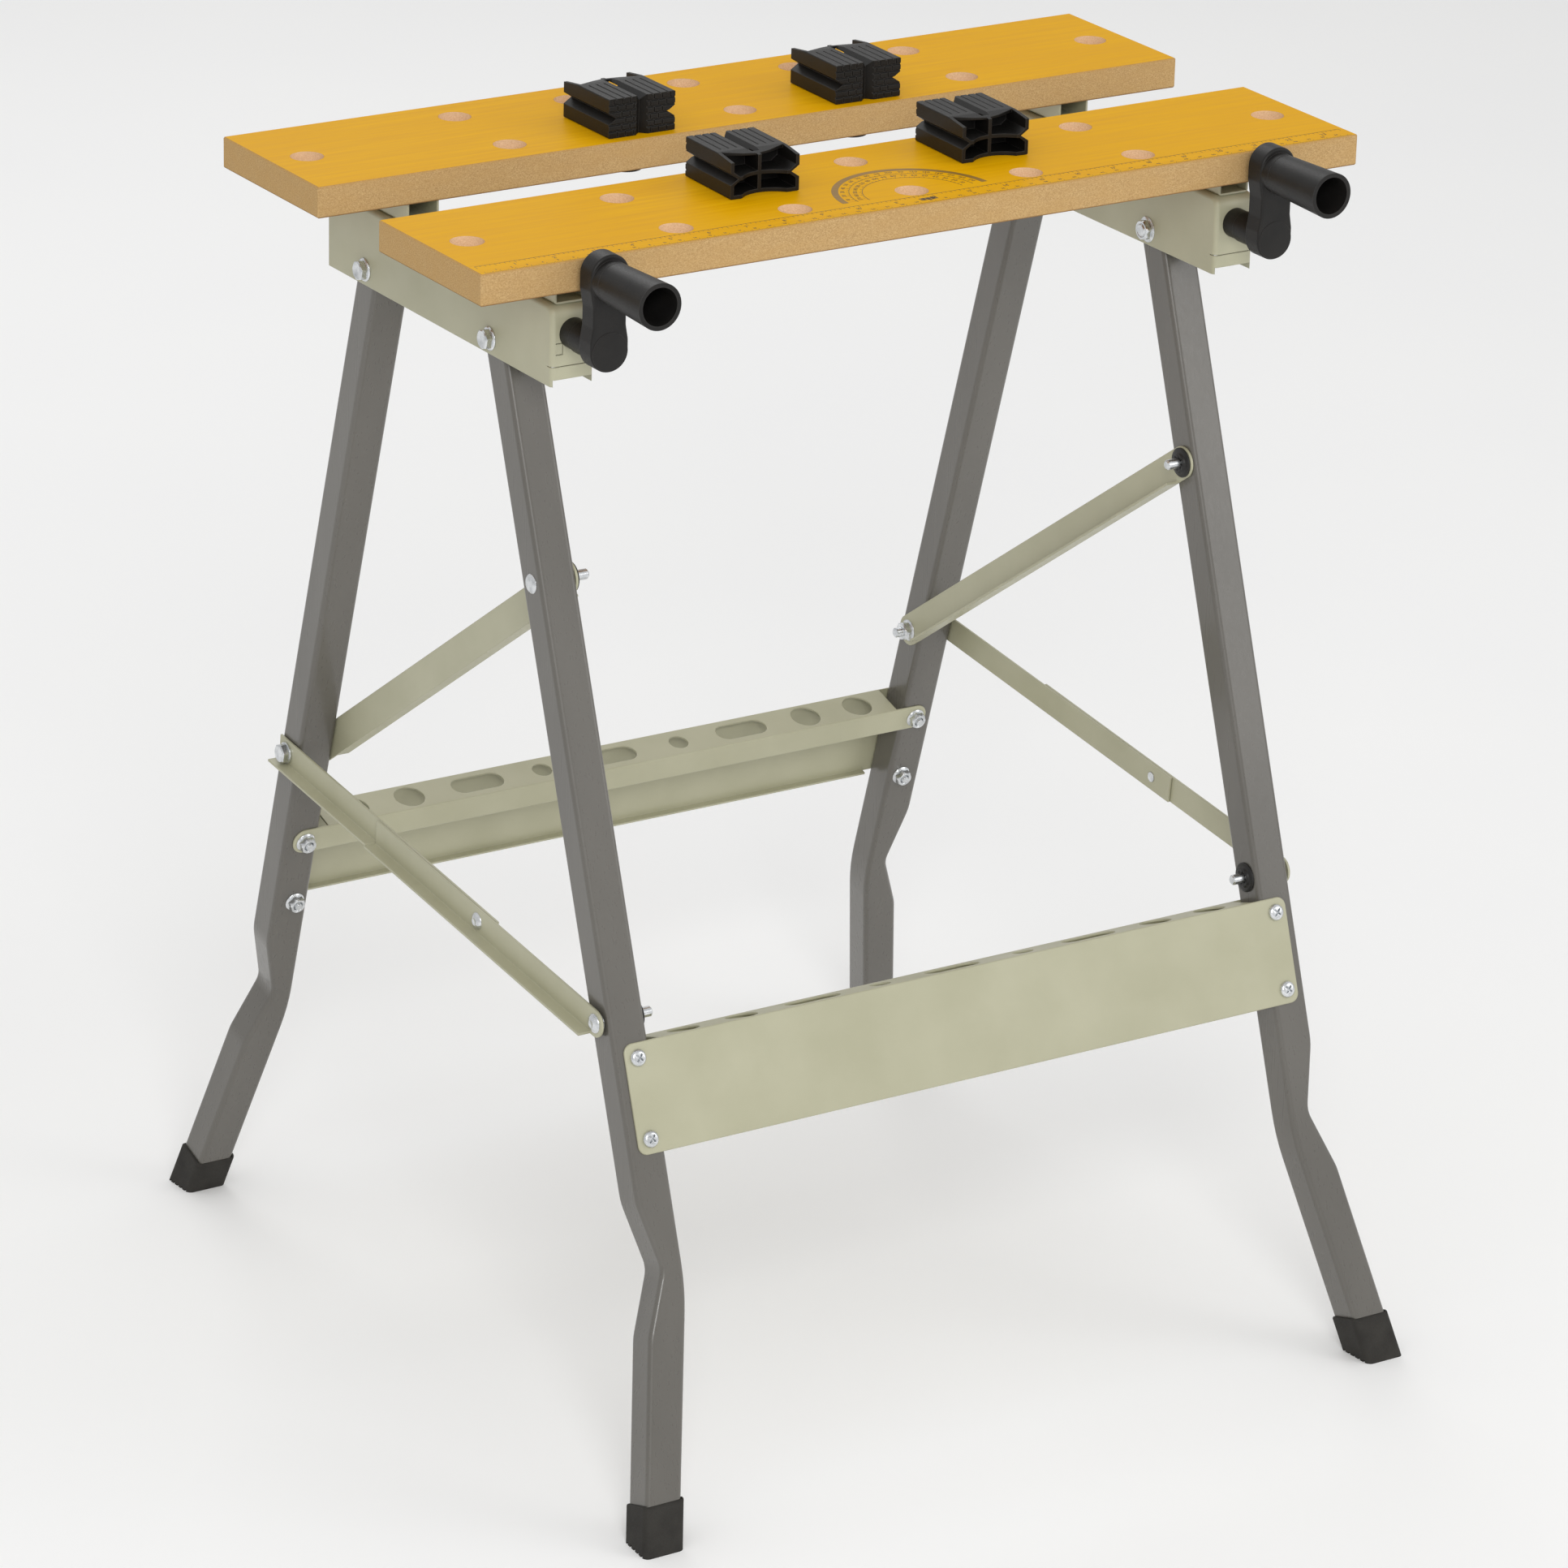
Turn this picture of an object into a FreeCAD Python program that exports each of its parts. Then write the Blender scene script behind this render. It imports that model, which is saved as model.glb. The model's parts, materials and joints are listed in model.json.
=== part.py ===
"""Folding clamping workbench: two drilled vise jaws on two rails, four splayed tube legs,
tool-tray cross panels, folding stays and struts, two screw cranks and four bench dogs.

Millimetres, +Z up, +X to the right, the cranks at the front (-Y).  The origin is on the
floor under the middle of the bench.  The bench is modelled unfolded, standing on its feet.
"""
import FreeCAD, Part
import math
import os
import Sketcher
from FreeCAD import Placement, Rotation, Vector

doc = FreeCAD.newDocument("FoldingBench")

# ---------------------------------------------------------------- driving dimensions
DIMENSIONS = [
    # jaws
    ("jaw_length", 605), ("jaw_width", 118), ("jaw_thick", 19), ("jaw_top", 741.5),
    ("front_jaw_y", -88.95), ("rear_jaw_y", 101.05), ("jaw_edge", 0.8),
    ("dog_hole_dia", 20), ("hole_pitch", 80), ("row_offset", 33), ("end_hole_x", 278),
    # rails
    ("rail_x", 230), ("rail_width", 28), ("rail_top", 708), ("rail_low", 660),
    ("rail_front", -126.65), ("rail_rear", 136.85), ("rail_sheet", 1.3), ("rail_bend", 3),
    ("rail_nose", 7), ("nose_gap", 4), ("slot_width", 9), ("slot_front", 14), ("slot_rear", 124),
    ("tab_inset", 2.8), ("tab_width", 4.8), ("tab_low", 678.7), ("tab_height", 7.2),
    ("slit_wide", 0.5), ("notch_z", 671.5), ("notch_long", 5),
    # jaw spacers and their screws
    ("spacer_width", 21), ("spacer_length", 86), ("spacer_sheet", 1.2), ("spacer_lift", 0.3),
    ("front_spacer_y", -80.65), ("rear_spacer_y", 90.35), ("wood_screw_dia", 4),
    ("wood_screw_depth", 11), ("wood_head_dia", 8.4), ("wood_head_high", 2.6), ("wood_screw_y", 30),
    # vise screw, nut, crank and grip
    ("screw_dia", 8), ("screw_z", 691), ("screw_rear", 131.35), ("bush_dia", 18), ("bush_front", -136.65),
    ("nut_block_width", 20), ("nut_block_length", 18), ("nut_block_low", 684.7),
    ("nut_block_high", 705.5), ("nut_stem_dia", 8), ("arm_back", -154.65), ("arm_thick", 13),
    ("hub_dia", 19), ("crank_radius", 41.6), ("arm_low_dia", 24.4), ("arm_top_dia", 25), ("arm_waist", 21.4),
    ("arm_top_rise", 15.4), ("collar_length", 6),
    ("grip_base_dia", 24.6), ("grip_end_dia", 27.6), ("grip_length", 47), ("grip_wall", 2.2),
    ("grip_pin_dia", 8), ("grip_gap", 0.3),
    # legs
    ("pivot_z", 669.5), ("front_pivot_y", -56.25), ("rear_pivot_y", 92.55),
    ("lean_front", 19.08), ("lean_rear", 16.28), ("leg_x", 230), ("leg_wide", 24),
    ("leg_deep", 22.5), ("leg_wall", 1.2), ("leg_corner", 3), ("leg_above", 8),
    ("bend_height", 140), ("splay", 29.7), ("dent_deep", 8.5), ("floor_gap", 6),
    ("pivot_bolt_dia", 8), ("pin_dia", 6.4), ("running_gap", 0.08),
    # boots
    ("boot_wall", 1.7), ("boot_height", 26), ("sole_groove", 1.4),
    # cross panels
    ("panel_width", 472), ("panel_height", 66), ("panel_sheet", 1.3), ("panel_corner", 6),
    ("tray_width", 424), ("lip_height", 17.5), ("return_flange", 5), ("panel_fit", 0.1),
    ("front_panel_drop", 415.5), ("rear_panel_drop", 410.5), ("panel_bolt_inset", 9),
    ("panel_bolt_x", 227.6), ("panel_bolt_dia", 6), ("big_hole_dia", 20), ("small_hole_dia", 13),
    ("slot_length", 37), ("slot_tall", 15), ("tray_hole_out", 188), ("tray_hole_mid", 148),
    ("tray_slot_x", 98.5), ("tray_small_x", 51),
    # struts and folding stays: distances down the legs from the rail pivots
    ("strut_on_front", 143.37), ("strut_on_rear", 355.15), ("stay_on_front", 401),
    ("strut_width", 20), ("strut_sheet", 1.5), ("strut_flange", 8), ("strut_plane", 216.2),
    ("stay_width", 17), ("stay_sheet", 1.4), ("stay_flange", 8), ("inner_stay_plane", 242.5),
    ("outer_stay_plane", 244.2), ("knee_share", 0.3625), ("stay_overrun", 20),
    ("stay_lap", 125), ("stay_end", 9),
    # pins, rivets, washers and nuts of the linkage
    ("head_dia", 12), ("crown_dia", 10), ("strut_pin_head", 1.3), ("strut_pin_crown", 0.6),
    ("strut_pin_shank", 37.5), ("stay_pin_dia", 11), ("stay_pin_head", 1.7),
    ("stay_pin_shank", 34.5), ("outer_head", 1.8), ("outer_crown", 0.8),
    ("push_rim_dia", 18.5), ("push_rim", 1.2), ("push_hub_dia", 11), ("push_hub", 1.6),
    ("stay_bolt_hex", 13), ("stay_bolt_head", 4.3), ("stay_washer_dia", 13.6),
    ("stay_washer_thick", 1.4), ("strut_nut_flange_dia", 14.5), ("strut_nut_flange", 1.2),
    ("strut_nut_hex", 12.6), ("strut_nut_high", 4.6), ("strut_nut_stub", 1.4),
    ("rivet_dia", 11), ("rivet_head", 1.6), ("rivet_crown_dia", 8.5), ("rivet_crown", 0.7),
    # bench dogs
    ("dog_wide", 45.7), ("dog_high", 24.1), ("dog_hollow", 34.85), ("dog_face", 18.45),
    ("dog_wall", 2.2), ("dog_groove_low", 8.5), ("dog_groove_high", 15.5),
    ("dog_groove_deep", 5.2), ("dog_peg_dia", 19.6), ("dog_peg_length", 25.5), ("dog_lift", 0.2),
    ("peg_slit", 1.4), ("peg_slit_deep", 14),
    ("dog_arc_radius", 20.5), ("dog_arc_beyond", 14), ("dog_room", 22), ("dog_end_high", 21.8),
    ("dog_tooth", 0.9), ("dog_notch", 4.2), ("dog_valley", 3.8), ("dog_rib_pitch", 5.2),
    # bolt heads and nuts
    ("pivot_head_dia", 12.8), ("pivot_head_high", 4.2), ("pivot_flange_dia", 14.4),
    ("pivot_flange_high", 1.4), ("pivot_nut_flange", 16), ("pivot_nut_dia", 13.4),
    ("panel_head_dia", 10.4), ("panel_nut_flange", 13), ("panel_nut_dia", 11.2),
]

sheet = doc.addObject("Spreadsheet::Sheet", "dims")
for row, (alias, value) in enumerate(DIMENSIONS, start=1):
    sheet.set("A%d" % row, alias)
    sheet.set("B%d" % row, str(value))
    sheet.setAlias("B%d" % row, alias)
doc.recompute()

nodes = []          # every finished sub-part, in the order it is made


def size(expression):
    """The present value of an expression over the sheet's cells."""
    return float(sheet.evalExpression(expression))


def finish(obj, label):
    """Give a sub-part its own label and keep it for export."""
    obj.Label = label
    nodes.append(obj)
    return obj


def at(x, y, z):
    return Placement(Vector(x, y, z), Rotation())


# The frames the leg assemblies are built in: origin on the rail pivot axis, local +Z up
# the legs, local -Y out of the bench, square to the leg plane.
FRONT = Placement(Vector(0, size("dims.front_pivot_y"), size("dims.pivot_z")),
                  Rotation(Vector(1, 0, 0), -size("dims.lean_front")))
REAR = Placement(Vector(0, size("dims.rear_pivot_y"), size("dims.pivot_z")),
                 Rotation(Vector(1, 0, 0), size("dims.lean_rear")))
REAR = REAR.multiply(Placement(Vector(), Rotation(Vector(0, 0, 1), 180)))


# ---------------------------------------------------------------- small builders
def new_body(name, placement=None):
    body = doc.addObject("PartDesign::Body", name)
    body.Placement = placement or Placement()
    return body


def sketch_on(body, role, offset="0"):
    """An empty sketch on one of the body's own origin planes, moved along the world axis."""
    sketch = body.newObject("Sketcher::SketchObject", body.Name + "_sketch")
    plane = next(o for o in body.Origin.OriginFeatures if o.Role == role)
    sketch.AttachmentSupport = [(plane, "")]
    sketch.MapMode = "FlatFace"
    sign = "-" if role == "XZ_Plane" else ""
    sketch.setExpression("AttachmentOffset.Base.z", "%s(%s)" % (sign, offset))
    return sketch


def bind(sketch, constraint, expression):
    index = sketch.addConstraint(constraint)
    sketch.setExpression("Constraints[%d]" % index, expression)


def add_rectangle(sketch, left, low, right, high):
    """A rectangle whose sides stand at four sheet expressions."""
    x0, y0, x1, y1 = size(left), size(low), size(right), size(high)
    corners = [Vector(x0, y0, 0), Vector(x1, y0, 0), Vector(x1, y1, 0), Vector(x0, y1, 0)]
    first = sketch.GeometryCount
    for k in range(4):
        sketch.addGeometry(Part.LineSegment(corners[k], corners[(k + 1) % 4]), False)
    for k in range(4):
        sketch.addConstraint(Sketcher.Constraint("Coincident", first + k, 2,
                                                 first + (k + 1) % 4, 1))
        kind = "Horizontal" if k % 2 == 0 else "Vertical"
        sketch.addConstraint(Sketcher.Constraint(kind, first + k))
    bind(sketch, Sketcher.Constraint("DistanceX", -1, 1, first, 1, x0), left)
    bind(sketch, Sketcher.Constraint("DistanceY", -1, 1, first, 1, y0), low)
    bind(sketch, Sketcher.Constraint("DistanceX", -1, 1, first + 2, 1, x1), right)
    bind(sketch, Sketcher.Constraint("DistanceY", -1, 1, first + 2, 1, y1), high)


def add_circle(sketch, across, up, diameter):
    x, y, d = size(across), size(up), size(diameter)
    index = sketch.addGeometry(Part.Circle(Vector(x, y, 0), Vector(0, 0, 1), d / 2), False)
    bind(sketch, Sketcher.Constraint("DistanceX", -1, 1, index, 3, x), across)
    bind(sketch, Sketcher.Constraint("DistanceY", -1, 1, index, 3, y), up)
    bind(sketch, Sketcher.Constraint("Diameter", index, d), diameter)


def add_outline(sketch, points):
    """A closed outline through (x, y, radius) corners; a radius rounds its corner."""
    count = len(points)
    ends = []
    for k, (x, y, radius) in enumerate(points):
        here = Vector(x, y, 0)
        before = Vector(*points[k - 1][:2], 0)
        after = Vector(*points[(k + 1) % count][:2], 0)
        to_before = (before - here).normalize()
        to_after = (after - here).normalize()
        if not radius:
            ends.append((here, here))
            continue
        half = to_before.getAngle(to_after) / 2
        reach = radius / math.tan(half)
        start, end = here + to_before * reach, here + to_after * reach
        middle = (to_before + to_after).normalize()
        top = here + middle * (radius / math.sin(half) - radius)
        sketch.addGeometry(Part.Arc(start, top, end), False)
        ends.append((start, end))
    for k in range(count):
        start, end = ends[k][1], ends[(k + 1) % count][0]
        if (end - start).Length > 1e-6:
            sketch.addGeometry(Part.LineSegment(start, end), False)


def add_slot(sketch, across, up, length, height):
    """A horizontal slot with round ends."""
    x, y = size(across), size(up)
    half, radius = size(length) / 2, size(height) / 2
    add_outline(sketch, [(x - half, y - radius, radius), (x + half, y - radius, radius),
                         (x + half, y + radius, radius), (x - half, y + radius, radius)])


def pad(body, sketch, length):
    """Pad the sketch by a sheet expression, evenly to both sides of its plane."""
    feature = body.newObject("PartDesign::Pad", body.Name + "_pad")
    feature.Profile = sketch
    feature.SideType = "Symmetric"
    feature.setExpression("Length", length)
    doc.recompute()
    return feature


def pocket(body, sketch, length):
    """Cut the sketch out to both sides of its plane, and make sure that it cut."""
    before = body.Shape.Volume
    feature = body.newObject("PartDesign::Pocket", body.Name + "_pocket")
    feature.Profile = sketch
    feature.SideType = "Symmetric"
    feature.setExpression("Length", length)
    doc.recompute()
    if not body.Shape.Volume < before - 1e-3:
        raise RuntimeError(body.Name + ": a pocket removed nothing")
    return feature


def round_edges(body, radius, chosen):
    """Round the edges of the body's last feature that the test function picks."""
    last = body.Tip
    names = ["Edge%d" % (k + 1) for k, edge in enumerate(last.Shape.Edges) if chosen(edge)]
    fillet = body.newObject("PartDesign::Fillet", body.Name + "_fillet")
    fillet.Base = (last, names)
    fillet.setExpression("Radius", radius)
    doc.recompute()
    if not names or "Invalid" in fillet.State or fillet.Shape.isNull():
        raise RuntimeError(body.Name + ": an edge could not be rounded")
    return fillet


def runs_along(edge, axis):
    """True for a straight edge parallel to the axis."""
    if len(edge.Vertexes) != 2:
        return False
    step = edge.Vertexes[1].Point - edge.Vertexes[0].Point
    return step.Length > 0.5 and abs(abs(step.normalize().dot(axis)) - 1) < 1e-4


def mirrored(source, label):
    """The same piece on the other side of the bench."""
    twin = doc.addObject("Part::Mirroring", label)
    twin.Source = source
    twin.Normal = Vector(1, 0, 0)
    doc.recompute()
    return finish(twin, label)


def turned(name, frame, start, direction, steps, bore=None):
    """A turned piece stacked along one direction: steps of (kind, diameter, length)."""
    turn = Rotation(Vector(0, 0, 1), direction)
    reach = 0.0
    pieces = []
    for k, (kind, diameter, length) in enumerate(steps):
        if kind == "hex":
            piece = doc.addObject("Part::Prism", "%s_%d" % (name, k))
            piece.Polygon = 6
            piece.setExpression("Circumradius", "(%s) / 2" % diameter)
        else:
            piece = doc.addObject("Part::Cylinder", "%s_%d" % (name, k))
            piece.setExpression("Radius", "(%s) / 2" % diameter)
        piece.setExpression("Height", length)
        piece.Placement = frame.multiply(Placement(start + direction * reach, turn))
        pieces.append(piece)
        reach += size(length)
    solid = pieces[0]
    if len(pieces) > 1:
        solid = doc.addObject("Part::MultiFuse", name)
        solid.Shapes = pieces
    if bore:
        hole = doc.addObject("Part::Cylinder", name + "_bore")
        hole.setExpression("Radius", "(%s) / 2" % bore)
        hole.Height = reach + 2
        hole.Placement = frame.multiply(Placement(start - direction, turn))
        cut = doc.addObject("Part::Cut", name + "_bored")
        cut.Base, cut.Tool = solid, hole
        solid = cut
    return solid


def group(label, pieces):
    """Separate identical pieces kept together as one sub-part."""
    bundle = doc.addObject("Part::Compound", label)
    bundle.Links = pieces
    return finish(bundle, label)


X, Y, Z = Vector(1, 0, 0), Vector(0, 1, 0), Vector(0, 0, 1)
ORIGIN = Placement()


# ---------------------------------------------------------------- jaws
def jaw(label, centre):
    """A jaw board: two rows of five dog holes and one more near each end."""
    body = new_body(label)
    mid = "dims.jaw_top - dims.jaw_thick / 2"
    board = sketch_on(body, "XY_Plane", mid)
    add_rectangle(board, "-dims.jaw_length / 2", "%s - dims.jaw_width / 2" % centre,
                  "dims.jaw_length / 2", "%s + dims.jaw_width / 2" % centre)
    pad(body, board, "dims.jaw_thick")
    slab = body.Tip
    edge = body.newObject("PartDesign::Chamfer", label + "_edges")
    edge.Base = (slab, ["Edge%d" % (k + 1) for k in range(len(slab.Shape.Edges))])
    edge.setExpression("Size", "dims.jaw_edge")
    doc.recompute()
    holes = sketch_on(body, "XY_Plane", mid)
    for row in (-1, 1):
        for place in range(-2, 3):
            add_circle(holes, "%d * dims.hole_pitch" % place,
                       "%s + %d * dims.row_offset" % (centre, row), "dims.dog_hole_dia")
    for end in (-1, 1):
        add_circle(holes, "%d * dims.end_hole_x" % end, centre, "dims.dog_hole_dia")
    pocket(body, holes, "2 * dims.jaw_thick")
    return finish(body, label)


def jaw_spacer(label, centre, lift):
    """An open-ended box section between a rail and its jaw."""
    body = new_body(label, at(size("dims.rail_x"), 0, 0))
    underside = "(dims.jaw_top - dims.jaw_thick)"
    foot = "(dims.rail_top + %s)" % lift
    block = sketch_on(body, "XZ_Plane", centre)
    add_rectangle(block, "-dims.spacer_width / 2", foot, "dims.spacer_width / 2", underside)
    pad(body, block, "dims.spacer_length")
    round_edges(body, "1.6 * dims.spacer_sheet",
                lambda e: runs_along(e, Y))
    inside = sketch_on(body, "XZ_Plane", centre)
    add_rectangle(inside, "-dims.spacer_width / 2 + dims.spacer_sheet",
                  foot + " + dims.spacer_sheet",
                  "dims.spacer_width / 2 - dims.spacer_sheet",
                  underside + " - dims.spacer_sheet")
    pocket(body, inside, "dims.spacer_length + 10")
    holes = sketch_on(body, "XY_Plane", underside)
    for side in (-1, 1):
        add_circle(holes, "0", "%s + %d * dims.wood_screw_y" % (centre, side),
                   "dims.wood_screw_dia + 0.4")
    pocket(body, holes, "4 * dims.spacer_sheet")
    return finish(body, label)


def jaw_screws(label, centre):
    """Four wood screws up through the spacers into the jaw."""
    screws = []
    web = size("dims.jaw_top - dims.jaw_thick - dims.spacer_sheet")
    for side in (-1, 1):
        for end in (-1, 1):
            head = Vector(side * size("dims.rail_x"), size(centre) + end * size("dims.wood_screw_y"),
                          web - size("dims.wood_head_high"))
            screws.append(turned("%s_%d" % (label, len(screws)), ORIGIN, head, Z, [
                ("round", "dims.wood_head_dia", "dims.wood_head_high"),
                ("round", "dims.wood_screw_dia", "dims.wood_screw_depth")]))
    return group(label, screws)


front_jaw = jaw("front_jaw", "dims.front_jaw_y")
rear_jaw = jaw("rear_jaw", "dims.rear_jaw_y")
spacer = jaw_spacer("front_spacer_right", "dims.front_spacer_y", "0")
mirrored(spacer, "front_spacer_left")
spacer = jaw_spacer("rear_spacer_right", "dims.rear_spacer_y", "dims.spacer_lift")
mirrored(spacer, "rear_spacer_left")
jaw_screws("front_jaw_screws", "dims.front_spacer_y")
jaw_screws("rear_jaw_screws", "dims.rear_spacer_y")


# ---------------------------------------------------------------- rails
def rail(label):
    """A folded channel, open below and at the rear, closed by a nose plate at the front."""
    body = new_body(label, at(size("dims.rail_x"), 0, 0))
    side = sketch_on(body, "YZ_Plane")
    add_rectangle(side, "dims.rail_front", "dims.rail_low", "dims.rail_rear", "dims.rail_top")
    pad(body, side, "dims.rail_width")
    round_edges(body, "dims.rail_nose", lambda e: runs_along(e, X)
                and e.CenterOfMass.z > size("dims.rail_top") - 0.1 and e.CenterOfMass.y < 0)
    round_edges(body, "dims.rail_bend", lambda e: runs_along(e, Y)
                and e.CenterOfMass.z > size("dims.rail_top") - 0.1)
    inside = sketch_on(body, "YZ_Plane")
    nose, roof = "dims.rail_front + dims.rail_sheet", "dims.rail_top - dims.rail_sheet"
    y0, z1, inner = size(nose), size(roof), size("dims.rail_nose - dims.rail_sheet")
    y1, z0 = size("dims.rail_rear") + 5, size("dims.rail_low") - 5
    add_outline(inside, [(y0, z0, 0), (y1, z0, 0), (y1, z1, 0), (y0, z1, inner)])
    pocket(body, inside, "dims.rail_width - 2 * dims.rail_sheet")
    lower = sketch_on(body, "XZ_Plane", "dims.rail_front")
    add_rectangle(lower, "-dims.rail_width / 2 + dims.rail_sheet", "dims.rail_low - 2",
                  "dims.rail_width / 2 - dims.rail_sheet", "dims.rail_low + dims.nose_gap")
    pocket(body, lower, "6 * dims.rail_sheet")
    pivots = sketch_on(body, "YZ_Plane")
    for pivot in ("dims.front_pivot_y", "dims.rear_pivot_y"):
        add_circle(pivots, pivot, "dims.pivot_z", "dims.pivot_bolt_dia")
    pocket(body, pivots, "2 * dims.rail_width")
    nose_hole = sketch_on(body, "XZ_Plane", "dims.rail_front")
    add_circle(nose_hole, "0", "dims.screw_z", "dims.screw_dia + 2")
    pocket(body, nose_hole, "6 * dims.rail_sheet")
    tab = sketch_on(body, "XZ_Plane", "dims.rail_front")
    right, low, slit = "dims.rail_width / 2 - dims.tab_inset", "dims.tab_low", "dims.slit_wide"
    left, high = right + " - dims.tab_width", low + " + dims.tab_height"
    corners = [(size(right), size(high)), (size(left), size(high)), (size(left), size(low)),
               (size(right), size(low))]
    thick = size(slit)
    (x1, z1), (x0, z0) = corners[0], corners[2]
    add_outline(tab, [(x1, z1, 0), (x0, z1, 0), (x0, z0, 0), (x1, z0, 0), (x1, z0 + thick, 0),
                      (x0 + thick, z0 + thick, 0), (x0 + thick, z1 - thick, 0),
                      (x1, z1 - thick, 0)])
    pocket(body, tab, "6 * dims.rail_sheet")
    notch = sketch_on(body, "YZ_Plane")
    add_rectangle(notch, "dims.rail_front - 1", "dims.notch_z", "dims.rail_front + dims.notch_long",
                  "dims.notch_z + dims.slit_wide")
    pocket(body, notch, "2 * dims.rail_width")
    slot = sketch_on(body, "XY_Plane", "dims.rail_top")
    add_rectangle(slot, "-dims.slot_width / 2", "dims.slot_front", "dims.slot_width / 2",
                  "dims.slot_rear")
    pocket(body, slot, "6 * dims.rail_sheet")
    return finish(body, label)


rail_right = rail("rail_right")
mirrored(rail_right, "rail_left")


# ---------------------------------------------------------------- vise screws, nuts, cranks
def screw_bush(label):
    """A black collar on the rail's nose that the vise screw turns in."""
    start = Vector(size("dims.rail_x"), size("dims.rail_front"), size("dims.screw_z"))
    return finish(turned(label, ORIGIN, start, -Y, [
        ("round", "dims.bush_dia", "dims.rail_front - dims.bush_front")],
        bore="dims.screw_dia + 0.1"), label)


def lead_screw(label):
    """The vise screw, from the crank's hub to the rear of the rail."""
    start = Vector(size("dims.rail_x"), size("dims.screw_rear"), size("dims.screw_z"))
    return finish(turned(label, ORIGIN, start, -Y, [
        ("round", "dims.screw_dia", "dims.screw_rear - dims.arm_back")]), label)


def vise_nut(label):
    """A threaded block inside the rail, its stem up through the rail's slot to the spacer."""
    body = new_body(label, at(size("dims.rail_x"), 0, 0))
    block = sketch_on(body, "XZ_Plane", "dims.rear_spacer_y")
    add_rectangle(block, "-dims.nut_block_width / 2", "dims.nut_block_low",
                  "dims.nut_block_width / 2", "dims.nut_block_high")
    pad(body, block, "dims.nut_block_length")
    foot = "(dims.rail_top + dims.spacer_lift)"
    stem = sketch_on(body, "XY_Plane", "(dims.nut_block_high - 2 + %s) / 2" % foot)
    add_circle(stem, "0", "dims.rear_spacer_y", "dims.nut_stem_dia")
    pad(body, stem, "%s - dims.nut_block_high + 2" % foot)
    thread = sketch_on(body, "XZ_Plane", "dims.rear_spacer_y")
    add_circle(thread, "0", "dims.screw_z", "dims.screw_dia + 0.12")
    pocket(body, thread, "dims.nut_block_length + 10")
    return finish(body, label)


def crank_arm(label):
    """The crank: a round-ended arm standing up from its hub on the vise screw."""
    body = new_body(label, at(size("dims.rail_x"), 0, size("dims.screw_z")))
    arm = sketch_on(body, "XZ_Plane", "dims.arm_back - dims.arm_thick / 2")
    low, top, rise = (size("dims.arm_low_dia") / 2, size("dims.arm_top_dia") / 2,
                      size("dims.crank_radius"))
    waist = size("dims.arm_waist") / 2
    crest = rise + size("dims.arm_top_rise")
    right = [(low, -low, low - 0.1), (low, low * 0.5, 6), (waist, low * 1.2, 8),
             (waist, rise - top * 1.2, 8), (top, rise - top * 0.4, 6), (top, crest, top - 0.1)]
    left = [(-x, y, r) for x, y, r in reversed(right)]
    add_outline(arm, right + left)
    pad(body, arm, "dims.arm_thick")
    round_edges(body, "1.5", lambda e: abs(e.CenterOfMass.y - size("dims.arm_back - dims.arm_thick"))
                < 0.01)
    collar = sketch_on(body, "XZ_Plane", "dims.arm_back - dims.arm_thick")
    add_circle(collar, "0", "dims.crank_radius", "dims.grip_base_dia")
    pad(body, collar, "2 * dims.collar_length")
    hub = sketch_on(body, "XZ_Plane", "(dims.arm_back + dims.bush_front) / 2 - 0.3")
    add_circle(hub, "0", "0", "dims.hub_dia")
    pad(body, hub, "dims.bush_front - dims.arm_back")
    bore = sketch_on(body, "XZ_Plane", "dims.bush_front")
    add_circle(bore, "0", "0", "dims.screw_dia")
    pocket(body, bore, "2 * (dims.bush_front - dims.arm_back)")
    return finish(body, label)


def grip_axis():
    """The start of the grip's axis, on the face of the arm's collar."""
    return Vector(size("dims.rail_x"), size("dims.arm_back - dims.arm_thick - dims.collar_length"),
                  size("dims.screw_z + dims.crank_radius"))


def grip_pin(label):
    """The pin that the hollow grip turns on, riveted into the arm."""
    return finish(turned(label, ORIGIN, grip_axis(), -Y, [
        ("round", "dims.grip_pin_dia", "dims.grip_gap + 12"),
        ("round", "dims.grip_pin_dia + 3", "3")]), label)


def crank_grip(label):
    """A hollow tapered grip, wider at its open end, with a closed wall at the arm."""
    outside = doc.addObject("Part::Cone", label + "_outside")
    outside.setExpression("Radius1", "dims.grip_base_dia / 2")
    outside.setExpression("Radius2", "dims.grip_end_dia / 2")
    outside.setExpression("Height", "dims.grip_length")
    hollow = doc.addObject("Part::Cone", label + "_hollow")
    hollow.setExpression("Radius1", "dims.grip_base_dia / 2 - dims.grip_wall")
    hollow.setExpression("Radius2", "dims.grip_end_dia / 2 - dims.grip_wall")
    hollow.setExpression("Height", "dims.grip_length")
    bore = doc.addObject("Part::Cylinder", label + "_bore")
    bore.setExpression("Radius", "dims.grip_pin_dia / 2 + 0.1")
    bore.setExpression("Height", "dims.grip_length")
    turn = Rotation(Z, -Y)
    start = grip_axis() - Y * size("dims.grip_gap")
    outside.Placement = Placement(start, turn)
    hollow.Placement = Placement(start - Y * 11, turn)
    bore.Placement = Placement(start + Y, turn)
    tools = doc.addObject("Part::MultiFuse", label + "_tools")
    tools.Shapes = [hollow, bore]
    grip = doc.addObject("Part::Cut", label)
    grip.Base, grip.Tool = outside, tools
    return finish(grip, label)


for make in (screw_bush, lead_screw, vise_nut, crank_arm, grip_pin, crank_grip):
    piece = make(make.__name__ + "_right")
    mirrored(piece, make.__name__ + "_left")


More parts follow.
